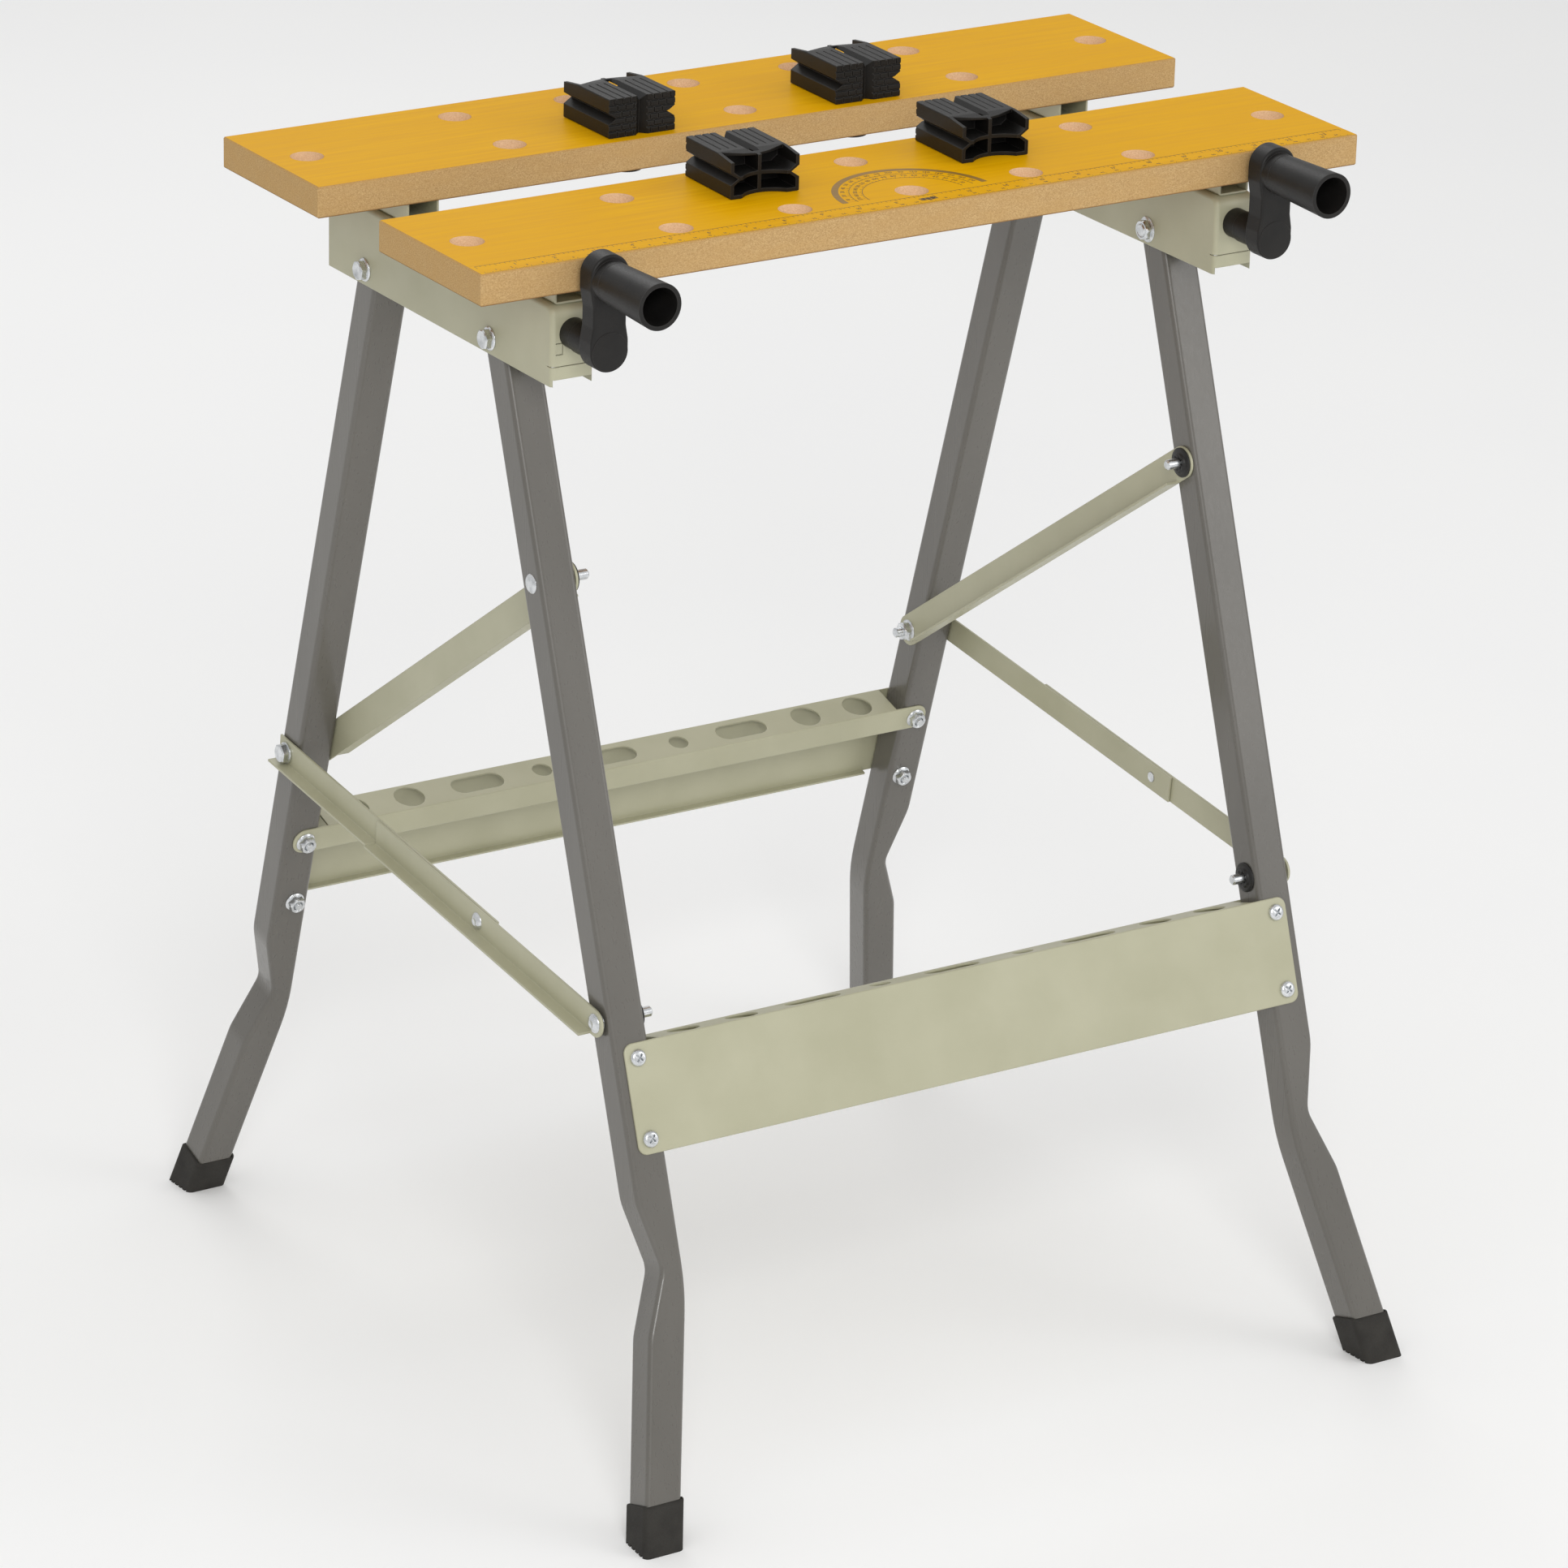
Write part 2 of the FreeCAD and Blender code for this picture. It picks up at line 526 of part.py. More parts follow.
# ---------------------------------------------------------------- legs and boots
def leg_levels(lean):
    """Distances down the leg to its bend and to the floor."""
    slope = math.cos(math.radians(size(lean)))
    height = size("dims.pivot_z")
    return -(height - size("dims.bend_height")) / slope, -height / slope


def leg_outline(bend, floor, inset, above, below):
    """Front view of a leg: straight tube, press dent at the outside of the bend, splayed end."""
    half = size("dims.leg_wide") / 2 - inset
    per_drop = size("dims.splay") / (bend - floor)
    foot = size("dims.splay") - per_drop * below
    dent = half - size("dims.dent_deep") - 1.5
    dent_low = bend - 27
    return [(-half, above, 0), (half, above, 0), (half, bend + 52, 40), (dent, bend + 11, 16),
            (half + per_drop * (bend - dent_low), dent_low, 34),
            (half + foot, floor + below, 0), (-half + foot, floor + below, 0),
            (-half, bend - 3, 150)]


def leg(label, frame, lean, drops):
    """A rounded square tube, bent outwards near the foot."""
    bend, floor = leg_levels(lean)
    body = new_body(label, frame.multiply(at(size("dims.leg_x"), 0, 0)))
    if frame is REAR:
        body.Placement = frame.multiply(at(-size("dims.leg_x"), 0, 0)).multiply(
            Placement(Vector(), Rotation(Z, 180)))
    outline = sketch_on(body, "XZ_Plane")
    add_outline(outline, leg_outline(bend, floor, 0, size("dims.leg_above"), size("dims.floor_gap")))
    pad(body, outline, "dims.leg_deep")
    face = size("dims.leg_deep") / 2
    round_edges(body, "dims.leg_corner", lambda e: all(
        abs(abs(v.Point.y) - face) < 0.01 for v in e.Vertexes) and not runs_along(e, X)
        and not runs_along(e, Y))
    hollow = sketch_on(body, "XZ_Plane")
    add_outline(hollow, leg_outline(bend, floor, size("dims.leg_wall"),
                                    size("dims.leg_above") + 5, size("dims.floor_gap") - 5))
    pocket(body, hollow, "dims.leg_deep - 2 * dims.leg_wall")
    holes = sketch_on(body, "YZ_Plane")
    add_circle(holes, "0", "0", "dims.pivot_bolt_dia + 2 * dims.running_gap")
    for drop in drops:
        add_circle(holes, "0", "-" + drop, "dims.pin_dia")
    pocket(body, holes, "2 * dims.leg_wide")
    panel_drop = "dims.front_panel_drop" if frame is FRONT else "dims.rear_panel_drop"
    bolts = sketch_on(body, "XZ_Plane")
    for below in ("dims.panel_bolt_inset", "dims.panel_height - dims.panel_bolt_inset"):
        add_circle(bolts, "dims.panel_bolt_x - dims.leg_x", "-%s - (%s)" % (panel_drop, below),
                   "dims.panel_bolt_dia")
    pocket(body, bolts, "2 * dims.leg_deep")
    return finish(body, label)


def boot(label, frame, lean):
    """A rubber boot round the leg's end, flat and ribbed on the floor."""
    bend, floor = leg_levels(lean)
    body = new_body(label + "_body", frame.multiply(at(size("dims.leg_x"), 0, 0)))
    if frame is REAR:
        body.Placement = frame.multiply(at(-size("dims.leg_x"), 0, 0)).multiply(
            Placement(Vector(), Rotation(Z, 180)))
    per_drop = size("dims.splay") / (bend - floor)

    def slanted(half, low, high, radius):
        def shift(level):
            return size("dims.splay") - per_drop * (level - floor)
        return [(shift(low) - half, low, 0), (shift(low) + half, low, 0),
                (shift(high) + half, high, radius), (shift(high) - half, high, radius)]

    half = size("dims.leg_wide") / 2
    outer = sketch_on(body, "XZ_Plane")
    add_outline(outer, slanted(half + size("dims.boot_wall"), floor - 14,
                               floor + size("dims.boot_height"), 0.8))
    pad(body, outer, "dims.leg_deep + 2 * dims.boot_wall")
    wide = size("dims.leg_deep / 2 + dims.boot_wall")
    round_edges(body, "dims.leg_corner + 1", lambda e: all(
        abs(abs(v.Point.y) - wide) < 0.01 for v in e.Vertexes)
        and abs(e.Vertexes[0].Point.z - e.Vertexes[-1].Point.z) > 20)
    inner = sketch_on(body, "XZ_Plane")
    add_outline(inner, slanted(half, floor + size("dims.floor_gap"),
                               floor + size("dims.boot_height") + 5, 0))
    pocket(body, inner, "dims.leg_deep")
    below = doc.addObject("Part::Box", label + "_below_floor")
    below.Length, below.Width, below.Height = 900, 900, 40
    below.Placement = at(-450, -450, -40)
    cutters = [below]
    foot_y = body.Placement.multVec(Vector(0, 0, floor)).y
    for k in range(-2, 3):
        groove = doc.addObject("Part::Box", "%s_groove_%d" % (label, k + 2))
        groove.Length, groove.Width = 60, 2
        groove.setExpression("Height", "dims.sole_groove")
        groove.Placement = at(240, foot_y + 4.6 * k - 1, 0)
        cutters.append(groove)
    tools = doc.addObject("Part::MultiFuse", label + "_cutters")
    tools.Shapes = cutters
    sole = doc.addObject("Part::Cut", label)
    sole.Base, sole.Tool = body, tools
    doc.recompute()
    return finish(sole, label)


leg_right = leg("front_leg_right", FRONT, "dims.lean_front", ["dims.strut_on_front",
                                                              "dims.stay_on_front"])
mirrored(leg_right, "front_leg_left")
leg_right = leg("rear_leg_right", REAR, "dims.lean_rear", ["dims.strut_on_rear"])
mirrored(leg_right, "rear_leg_left")
mirrored(boot("front_boot_right", FRONT, "dims.lean_front"), "front_boot_left")
mirrored(boot("rear_boot_right", REAR, "dims.lean_rear"), "rear_boot_left")


# ---------------------------------------------------------------- cross panels
def panel(label, frame, drop):
    """A cross panel: tall outer plate, pierced tool tray on top, low lip with ears behind."""
    body = new_body(label, frame)
    face = "(dims.leg_deep / 2 + dims.panel_fit)"
    skin, lip = "(-%s - dims.panel_sheet / 2)" % face, "(%s + dims.panel_sheet / 2)" % face
    plate = sketch_on(body, "XZ_Plane", skin)
    w, r = size("dims.panel_width") / 2, size("dims.panel_corner")
    top = -size(drop)
    low, lip_low = top - size("dims.panel_height"), top - size("dims.lip_height")
    add_outline(plate, [(-w, low, r), (w, low, r), (w, top, r), (-w, top, r)])
    pad(body, plate, "dims.panel_sheet")
    ears = sketch_on(body, "XZ_Plane", lip)
    e = size("dims.lip_height") / 2 - 0.5
    add_outline(ears, [(-w, lip_low, e), (w, lip_low, e), (w, top, e), (-w, top, e)])
    pad(body, ears, "dims.panel_sheet")
    tray = sketch_on(body, "XY_Plane", "-%s - dims.panel_sheet / 2" % drop)
    add_rectangle(tray, "-dims.tray_width / 2", "%s - dims.panel_sheet / 2" % skin,
                  "dims.tray_width / 2", "%s + dims.panel_sheet / 2" % lip)
    pad(body, tray, "dims.panel_sheet")
    flange = sketch_on(body, "XY_Plane", "-%s - dims.panel_height + dims.panel_sheet / 2" % drop)
    add_rectangle(flange, "-dims.tray_width / 2", "%s - dims.panel_sheet / 2" % skin,
                  "dims.tray_width / 2", "%s + dims.return_flange" % skin)
    pad(body, flange, "dims.panel_sheet")
    outer = size("dims.leg_deep / 2 + dims.panel_fit + dims.panel_sheet")
    long_bends = size("dims.tray_width") * 0.9
    round_edges(body, "0.8 * dims.panel_sheet", lambda e: runs_along(e, X) and e.Length > long_bends
                and abs(abs(e.CenterOfMass.y) - outer) < 0.01
                and (abs(e.CenterOfMass.z - top) < 0.01
                     or (abs(e.CenterOfMass.z - low) < 0.01 and e.CenterOfMass.y < 0)))
    holes = sketch_on(body, "XY_Plane", "-" + drop)
    for side in (-1, 1):
        for place, dia in (("tray_hole_out", "big"), ("tray_hole_mid", "big"),
                           ("tray_small_x", "small")):
            add_circle(holes, "%d * dims.%s" % (side, place), "0", "dims.%s_hole_dia" % dia)
        add_slot(holes, "%d * dims.tray_slot_x" % side, "0", "dims.slot_length", "dims.slot_tall")
    add_slot(holes, "0", "0", "dims.slot_length", "dims.slot_tall")
    pocket(body, holes, "6 * dims.panel_sheet")
    bolts = sketch_on(body, "XZ_Plane")
    for side in (-1, 1):
        for below in ("dims.panel_bolt_inset", "dims.panel_height - dims.panel_bolt_inset"):
            add_circle(bolts, "%d * dims.panel_bolt_x" % side, "-%s - (%s)" % (drop, below),
                       "dims.panel_bolt_dia")
    pocket(body, bolts, "4 * dims.leg_deep")
    return finish(body, label)


def panel_fasteners(prefix, frame, drop):
    """Four round-headed bolts from outside, four flange nuts inside."""
    face = size("dims.leg_deep / 2 + dims.panel_fit")
    skin = size("dims.panel_sheet")
    bolts, nuts = [], []
    for side in (-1, 1):
        for level, backing in ((size("dims.panel_bolt_inset"), face + skin),
                               (size("dims.panel_height - dims.panel_bolt_inset"),
                                size("dims.leg_deep") / 2)):
            x, z = side * size("dims.panel_bolt_x"), -size(drop) - level
            k = len(bolts)
            head = Vector(x, -face - skin - 2.6, z)
            bolts.append(turned("%s_bolt_%d" % (prefix, k), frame, head, Y, [
                ("round", "0.7 * dims.panel_head_dia", "0.9"), ("round", "dims.panel_head_dia", "1.7"),
                ("round", "dims.panel_bolt_dia",
                 "%.4f + dims.panel_sheet + 6.4" % (face + backing))]))
            seat = Vector(x, backing, z)
            nuts.append(turned("%s_nut_%d" % (prefix, k), frame, seat, Y, [
                ("round", "dims.panel_nut_flange", "1.3"), ("hex", "dims.panel_nut_dia", "4.2")],
                bore="dims.panel_bolt_dia"))
    group(prefix + "_bolts", bolts)
    group(prefix + "_nuts", nuts)


panel("front_panel", FRONT, "dims.front_panel_drop")
panel("rear_panel", REAR, "dims.rear_panel_drop")
panel_fasteners("front_panel", FRONT, "dims.front_panel_drop")
panel_fasteners("rear_panel", REAR, "dims.rear_panel_drop")


# ---------------------------------------------------------------- pivot bolts through the rails
def pivot_fasteners():
    """A hex bolt through each rail and leg, head outside, flange nut inside."""
    bolts, nuts = [], []
    half = size("dims.rail_width") / 2
    for side in (-1, 1):
        for pivot in ("dims.front_pivot_y", "dims.rear_pivot_y"):
            k = len(bolts)
            head = half + size("dims.pivot_head_high + dims.pivot_flange_high")
            outer = Vector(side * (size("dims.rail_x") + head), size(pivot), size("dims.pivot_z"))
            bolts.append(turned("pivot_bolt_%d" % k, ORIGIN, outer, X * -side, [
                ("hex", "dims.pivot_head_dia", "dims.pivot_head_high"),
                ("round", "dims.pivot_flange_dia", "dims.pivot_flange_high"),
                ("round", "dims.pivot_bolt_dia", "dims.rail_width + 5.2")]))
            inner = Vector(side * (size("dims.rail_x") - half), size(pivot), size("dims.pivot_z"))
            nuts.append(turned("pivot_nut_%d" % k, ORIGIN, inner, X * -side, [
                ("round", "dims.pivot_nut_flange", "1.2"), ("hex", "dims.pivot_nut_dia", "3.5")],
                bore="dims.pivot_bolt_dia"))
    group("pivot_bolts", bolts)
    group("pivot_nuts", nuts)


pivot_fasteners()


# ---------------------------------------------------------------- struts and folding stays
def on_leg(frame, drop):
    """The point of a leg pivot, seen from the side: (y, z)."""
    point = frame.multVec(Vector(0, 0, -size(drop)))
    return Vector(0, point.y, point.z)


STRUT_TOP = on_leg(FRONT, "dims.strut_on_front")
STRUT_END = on_leg(REAR, "dims.strut_on_rear")
STAY_FRONT = on_leg(FRONT, "dims.stay_on_front")
KNEE = STAY_FRONT + (STRUT_END - STAY_FRONT) * size("dims.knee_share")


def bar(label, plane, start, end, width, sheet_thick, flange, outward,
        before=None, beyond=None, flange_from=0.0, flange_to=0.0):
    """A right-hand angle-section bar in a plane square to X: flat web, flange along its low edge.

    Local +Y runs from start to end; the flange points out (+X) or in (-X) from the web.  An end
    is round about its pivot, or square when it runs on past it (before, beyond).
    """
    reach = end - start
    length = reach.Length
    angle = math.degrees(math.atan2(reach.z, reach.y))
    turn = Rotation(X, angle)
    low = 1 if turn.multVec(Z).z < 0 else -1
    body = new_body(label, Placement(Vector(size(plane), start.y, start.z), turn))
    half = size(width) / 2
    first = -size(before) if before else -half
    last = length + (size(beyond) if beyond else half)
    r0, r1 = (0 if before else half), (0 if beyond else half)
    web = sketch_on(body, "YZ_Plane", sheet_thick + " / 2")
    add_outline(web, [(first, -half, r0), (last, -half, r1), (last, half, r1), (first, half, r0)])
    pad(body, web, sheet_thick)
    edge = sketch_on(body, "XY_Plane", "%d * (%s - %s) / 2" % (low, width, sheet_thick))
    left, right = ("0", flange + " + " + sheet_thick) if outward else ("-" + flange, sheet_thick)
    add_rectangle(edge, left, "%.3f" % flange_from, right, "%.3f" % (length - flange_to))
    pad(body, edge, sheet_thick)
    pierced = sketch_on(body, "YZ_Plane")
    for along in (0.0, length):
        add_circle(pierced, "%.4f" % along, "0", "dims.pin_dia + 2 * dims.running_gap")
    pocket(body, pierced, "40")
    return finish(body, label)


lap = size("dims.stay_lap")
bar_right = bar("strut_right", "dims.strut_plane", STRUT_TOP, STRUT_END, "dims.strut_width",
                "dims.strut_sheet", "dims.strut_flange", False, flange_from=11, flange_to=11)
mirrored(bar_right, "strut_left")
bar_right = bar("stay_rear_right", "dims.inner_stay_plane", STRUT_END, KNEE, "dims.stay_width",
                "dims.stay_sheet", "dims.stay_flange", True, before="dims.stay_end",
                beyond="dims.stay_overrun", flange_from=-size("dims.stay_end"),
                flange_to=lap + 1.5)
mirrored(bar_right, "stay_rear_left")
bar_right = bar("stay_front_right", "dims.outer_stay_plane", KNEE, STAY_FRONT, "dims.stay_width",
                "dims.stay_sheet", "dims.stay_flange", True, before="dims.stay_lap",
                flange_from=-lap, flange_to=4)
mirrored(bar_right, "stay_front_left")


def pin(name, point, start, direction, steps, bore=None):
    """A pin, bolt or washer on the right-hand side, turned about an axis along X."""
    return turned(name, ORIGIN, Vector(start, point.y, point.z), direction, steps, bore)


def both_sides(label, source):
    """A right-hand piece and its left-hand twin as one sub-part."""
    twin = doc.addObject("Part::Mirroring", label + "_twin")
    twin.Source = source
    twin.Normal = X
    doc.recompute()
    return group(label, [source, twin])


leg_out = size("dims.leg_x + dims.leg_wide / 2")
leg_in = size("dims.leg_x - dims.leg_wide / 2")
strut_in = size("dims.strut_plane")

strut_head_out = leg_out + size("dims.strut_pin_head + dims.strut_pin_crown")
stay_head_out = leg_out + size("dims.stay_pin_head")
push_steps = [("round", "dims.push_rim_dia", "dims.push_rim"),
              ("round", "dims.push_hub_dia", "dims.push_hub")]

both_sides("strut_pins", pin("strut_pin", STRUT_TOP, strut_head_out, -X, [
    ("round", "dims.crown_dia", "dims.strut_pin_crown"),
    ("round", "dims.head_dia", "dims.strut_pin_head"),
    ("round", "dims.pin_dia", "dims.strut_pin_shank")]))
both_sides("strut_push_washers", pin("strut_push_washer", STRUT_TOP, strut_in - 0.2, -X,
                                     push_steps, bore="dims.pin_dia"))
both_sides("stay_pins", pin("stay_pin", STAY_FRONT, stay_head_out, -X, [
    ("round", "dims.stay_pin_dia", "dims.stay_pin_head"),
    ("round", "dims.pin_dia", "dims.stay_pin_shank")]))
both_sides("stay_push_washers", pin("stay_push_washer", STAY_FRONT, leg_in, -X,
                                    push_steps, bore="dims.pin_dia"))
stay_head = pin("stay_pin_head_right", STAY_FRONT, size("dims.outer_stay_plane") - 0.2, X, [
    ("round", "dims.pin_dia", "dims.stay_sheet + 0.2"),
    ("round", "dims.head_dia", "dims.outer_head"),
    ("round", "dims.crown_dia", "dims.outer_crown")])
mirrored(finish(stay_head, "stay_pin_head_right"), "stay_pin_head_left")
both_sides("stay_bolts", pin("stay_bolt", STRUT_END, size("dims.inner_stay_plane") + 7.2, -X, [
    ("hex", "dims.stay_bolt_hex", "dims.stay_bolt_head"),
    ("round", "dims.pin_dia", "2.9 + dims.inner_stay_plane - dims.leg_x + dims.leg_wide / 2")]))
both_sides("stay_washers", pin("stay_washer", STRUT_END,
                               size("dims.inner_stay_plane + dims.stay_sheet") + 0.1, X, [
                                   ("round", "dims.stay_washer_dia", "dims.stay_washer_thick")],
                               bore="dims.pin_dia"))
strut_nut = pin("strut_nut_right", STRUT_END, strut_in + size("dims.strut_sheet"), -X, [
    ("round", "dims.pin_dia", "dims.strut_sheet"),
    ("round", "dims.strut_nut_flange_dia", "dims.strut_nut_flange"),
    ("hex", "dims.strut_nut_hex", "dims.strut_nut_high"),
    ("round", "dims.pin_dia", "dims.strut_nut_stub")])
mirrored(finish(strut_nut, "strut_nut_right"), "strut_nut_left")
knee_rivet = pin("knee_rivet_right", KNEE, size("dims.inner_stay_plane") - 0.4, X, [
    ("round", "dims.pin_dia", "0.4 + dims.outer_stay_plane + dims.stay_sheet - dims.inner_stay_plane"),
    ("round", "dims.rivet_dia", "dims.rivet_head"),
    ("round", "dims.rivet_crown_dia", "dims.rivet_crown")])
mirrored(finish(knee_rivet, "knee_rivet_right"), "knee_rivet_left")


# ---------------------------------------------------------------- bench dogs
def dog(label, hole_x, hole_y, facing, turned_by):
    """A bench dog: grooved sides, brick-textured clamping face one way, hollow ribbed back.

    Local +Y is the clamping face; facing turns it front or rear, turned_by is how it stands.
    """
    seat = size("dims.jaw_top + dims.dog_lift")
    turn = Rotation(Z, (0 if facing > 0 else 180) + turned_by)
    body = new_body(label, Placement(Vector(hole_x, hole_y, seat), turn))
    w, high, wall = size("dims.dog_wide") / 2, size("dims.dog_high"), size("dims.dog_wall")
    g0, g1 = size("dims.dog_groove_low"), size("dims.dog_groove_high")
    deep, mid = size("dims.dog_groove_deep"), (g0 + g1) / 2
    back, front = -size("dims.dog_hollow"), size("dims.dog_face")
    right = [(w, 0, 0.8), (w, g0, 0), (w - deep, mid, 0), (w, g1, 0), (w, high, 0.8)]
    prism = sketch_on(body, "XZ_Plane", "(dims.dog_face - dims.dog_hollow) / 2")
    add_outline(prism, right + [(-x, z, r) for x, z, r in reversed(right)])
    pad(body, prism, "dims.dog_face + dims.dog_hollow")

    # the side walls slope down towards the hollow end
    end_high, slope_run = size("dims.dog_end_high"), 17
    slope = sketch_on(body, "YZ_Plane")
    add_outline(slope, [(back - 1, end_high, 0), (back + slope_run, high + 0.01, 0),
                        (back + slope_run, high + 2, 0), (back - 1, high + 2, 0)])
    pocket(body, slope, "2 * dims.dog_wide")

    # a concave end, four chambers behind it, and no top wall over the upper two
    arc = sketch_on(body, "XY_Plane", "dims.dog_high / 2")
    add_circle(arc, "0", "-dims.dog_hollow - dims.dog_arc_beyond", "2 * dims.dog_arc_radius")
    pocket(body, arc, "2 * dims.dog_high")
    room_mid = "-dims.dog_hollow + (dims.dog_room - 1) / 2"
    rooms = sketch_on(body, "XZ_Plane", room_mid)
    narrow = w - deep - wall * 0.45
    for side in (-1, 1):
        chambers = (
            [(wall / 2, wall, 0), (w - wall, wall, 0), (w - wall, g0 - 0.6, 0),
             (narrow, mid - wall / 2, 0), (wall / 2, mid - wall / 2, 0)],
            [(wall / 2, mid + wall / 2, 0), (narrow, mid + wall / 2, 0), (w - wall, g1 + 0.6, 0),
             (w - wall, high - wall, 0), (wall / 2, high - wall, 0)])
        for corners in chambers:
            ordered = corners if side > 0 else list(reversed(corners))
            add_outline(rooms, [(side * x, z, r) for x, z, r in ordered])
    pocket(body, rooms, "dims.dog_room + 1")
    open_top = sketch_on(body, "XY_Plane", "dims.dog_high")
    for side in (-1, 1):
        add_outline(open_top, [(side * wall / 2, back - 1, 0), (side * (w - wall), back - 1, 0),
                               (side * (w - wall), back + 16, 0), (side * 9, back + 11, 0),
                               (side * wall / 2, back + 9, 0)])
    pocket(body, open_top, "2 * dims.dog_wall + 0.4")

    # top: one deep valley and fine grooves, all running to the clamping face
    valley = size("dims.dog_valley")
    tops = sketch_on(body, "XZ_Plane", "dims.dog_face")
    add_outline(tops, [(-valley, high + 0.2, 0), (0, high - valley, 0), (valley, high + 0.2, 0)])
    pocket(body, tops, "2 * (dims.dog_face + dims.dog_hollow - 12)")
    fine = sketch_on(body, "XZ_Plane", "dims.dog_face")
    for k in (-3.4, -2.4, -1.4, 1.4, 2.4, 3.4):
        x = k * size("dims.dog_rib_pitch")
        add_outline(fine, [(x - 0.8, high + 0.1, 0), (x, high - 0.8, 0), (x + 0.8, high + 0.1, 0)])
    pocket(body, fine, "2 * (dims.dog_face + 14)")

    # clamping face: upright notch, level grooves and staggered short ones, like brickwork
    tooth, depth = size("dims.dog_tooth"), size("dims.dog_notch")
    notch = sketch_on(body, "XY_Plane", "dims.dog_high / 2")
    add_outline(notch, [(-depth, front + 0.01, 0), (0, front - depth, 0), (depth, front + 0.01, 0)])
    pocket(body, notch, "2 * dims.dog_high")
    rows, row_high = 6, high / 6
    level = sketch_on(body, "YZ_Plane")
    for k in range(1, rows):
        z = k * row_high
        add_outline(level, [(front + 0.1, z - tooth, 0), (front + 0.1, z + tooth, 0),
                            (front - tooth, z, 0)])
    pocket(body, level, "2 * dims.dog_wide")
    joints = sketch_on(body, "XZ_Plane", "dims.dog_face")
    for k in range(rows):
        z0, z1 = k * row_high + 0.5, (k + 1) * row_high - 0.5
        for column in range(4):
            x = depth + 1.6 + column * 5.6 + (2.6 if k % 2 else 0)
            if x + 0.5 > w - (deep + 0.6 if g0 - 4 < (z0 + z1) / 2 < g1 + 1 else 1.2):
                continue
            for side in (-1, 1):
                a, b = sorted((side * (x - 0.45), side * (x + 0.45)))
                add_outline(joints, [(a, z0, 0), (b, z0, 0), (b, z1, 0), (a, z1, 0)])
    pocket(body, joints, "2 * dims.dog_tooth")

    peg = sketch_on(body, "XY_Plane", "-dims.dog_peg_length / 2 + 1")
    add_circle(peg, "0", "0", "dims.dog_peg_dia")
    pad(body, peg, "dims.dog_peg_length + 2")
    bore = sketch_on(body, "XY_Plane", "-dims.dog_peg_length / 2")
    add_circle(bore, "0", "0", "dims.dog_peg_dia - 5")
    pocket(body, bore, "dims.dog_peg_length - 2")
    slits = sketch_on(body, "XY_Plane", "-dims.dog_peg_length")
    half = size("dims.peg_slit") / 2
    add_rectangle(slits, "-dims.dog_peg_dia", "%.2f" % -half, "dims.dog_peg_dia", "%.2f" % half)
    pocket(body, slits, "2 * dims.peg_slit_deep")
    scallop = sketch_on(body, "YZ_Plane")
    end = -size("dims.dog_peg_length")
    add_outline(scallop, [(-6, end - 1, 0), (6, end - 1, 0), (6, end + 2.5, 2), (-6, end + 2.5, 2)])
    pocket(body, scallop, "2 * dims.dog_peg_dia")
    return finish(body, label)


pitch = size("dims.hole_pitch")
front_row = size("dims.front_jaw_y + dims.row_offset")
rear_row = size("dims.rear_jaw_y - dims.row_offset")
dog("dog_front_left", -pitch, front_row, 1, -2)
dog("dog_front_right", pitch, front_row, 1, -2)
dog("dog_rear_left", -pitch, rear_row, -1, 0)
dog("dog_rear_right", pitch, rear_row, -1, -1.3)


# ---------------------------------------------------------------- check and export
doc.recompute()
for obj in doc.Objects:
    if "Invalid" in obj.State or "Error" in obj.State:
        raise RuntimeError("%s failed: %s" % (obj.Name, obj.State))
labels = [obj.Label for obj in nodes]
if len(set(labels)) != len(labels):
    raise RuntimeError("two sub-parts share a label")
os.makedirs("parts", exist_ok=True)
for obj in nodes:
    if obj.Shape.isNull() or not obj.Shape.isValid() or not obj.Shape.Solids:
        raise RuntimeError(obj.Label + ": bad shape")
for obj in nodes:
    obj.Shape.exportStep("parts/%s.step" % obj.Label)
whole = Part.makeCompound([obj.Shape for obj in nodes]).BoundBox
print("%d sub-parts, X %.1f..%.1f  Y %.1f..%.1f  Z %.1f..%.1f" % (
    len(nodes), whole.XMin, whole.XMax, whole.YMin, whole.YMax, whole.ZMin, whole.ZMax))
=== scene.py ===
"""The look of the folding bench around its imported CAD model.

Metres, +Z up, the cranks at the front (-Y).  Materials are procedural and read object
coordinates, so they travel with their pieces.
"""

import json
import math

import bmesh
import bpy
from mathutils import Matrix, Quaternion, Vector


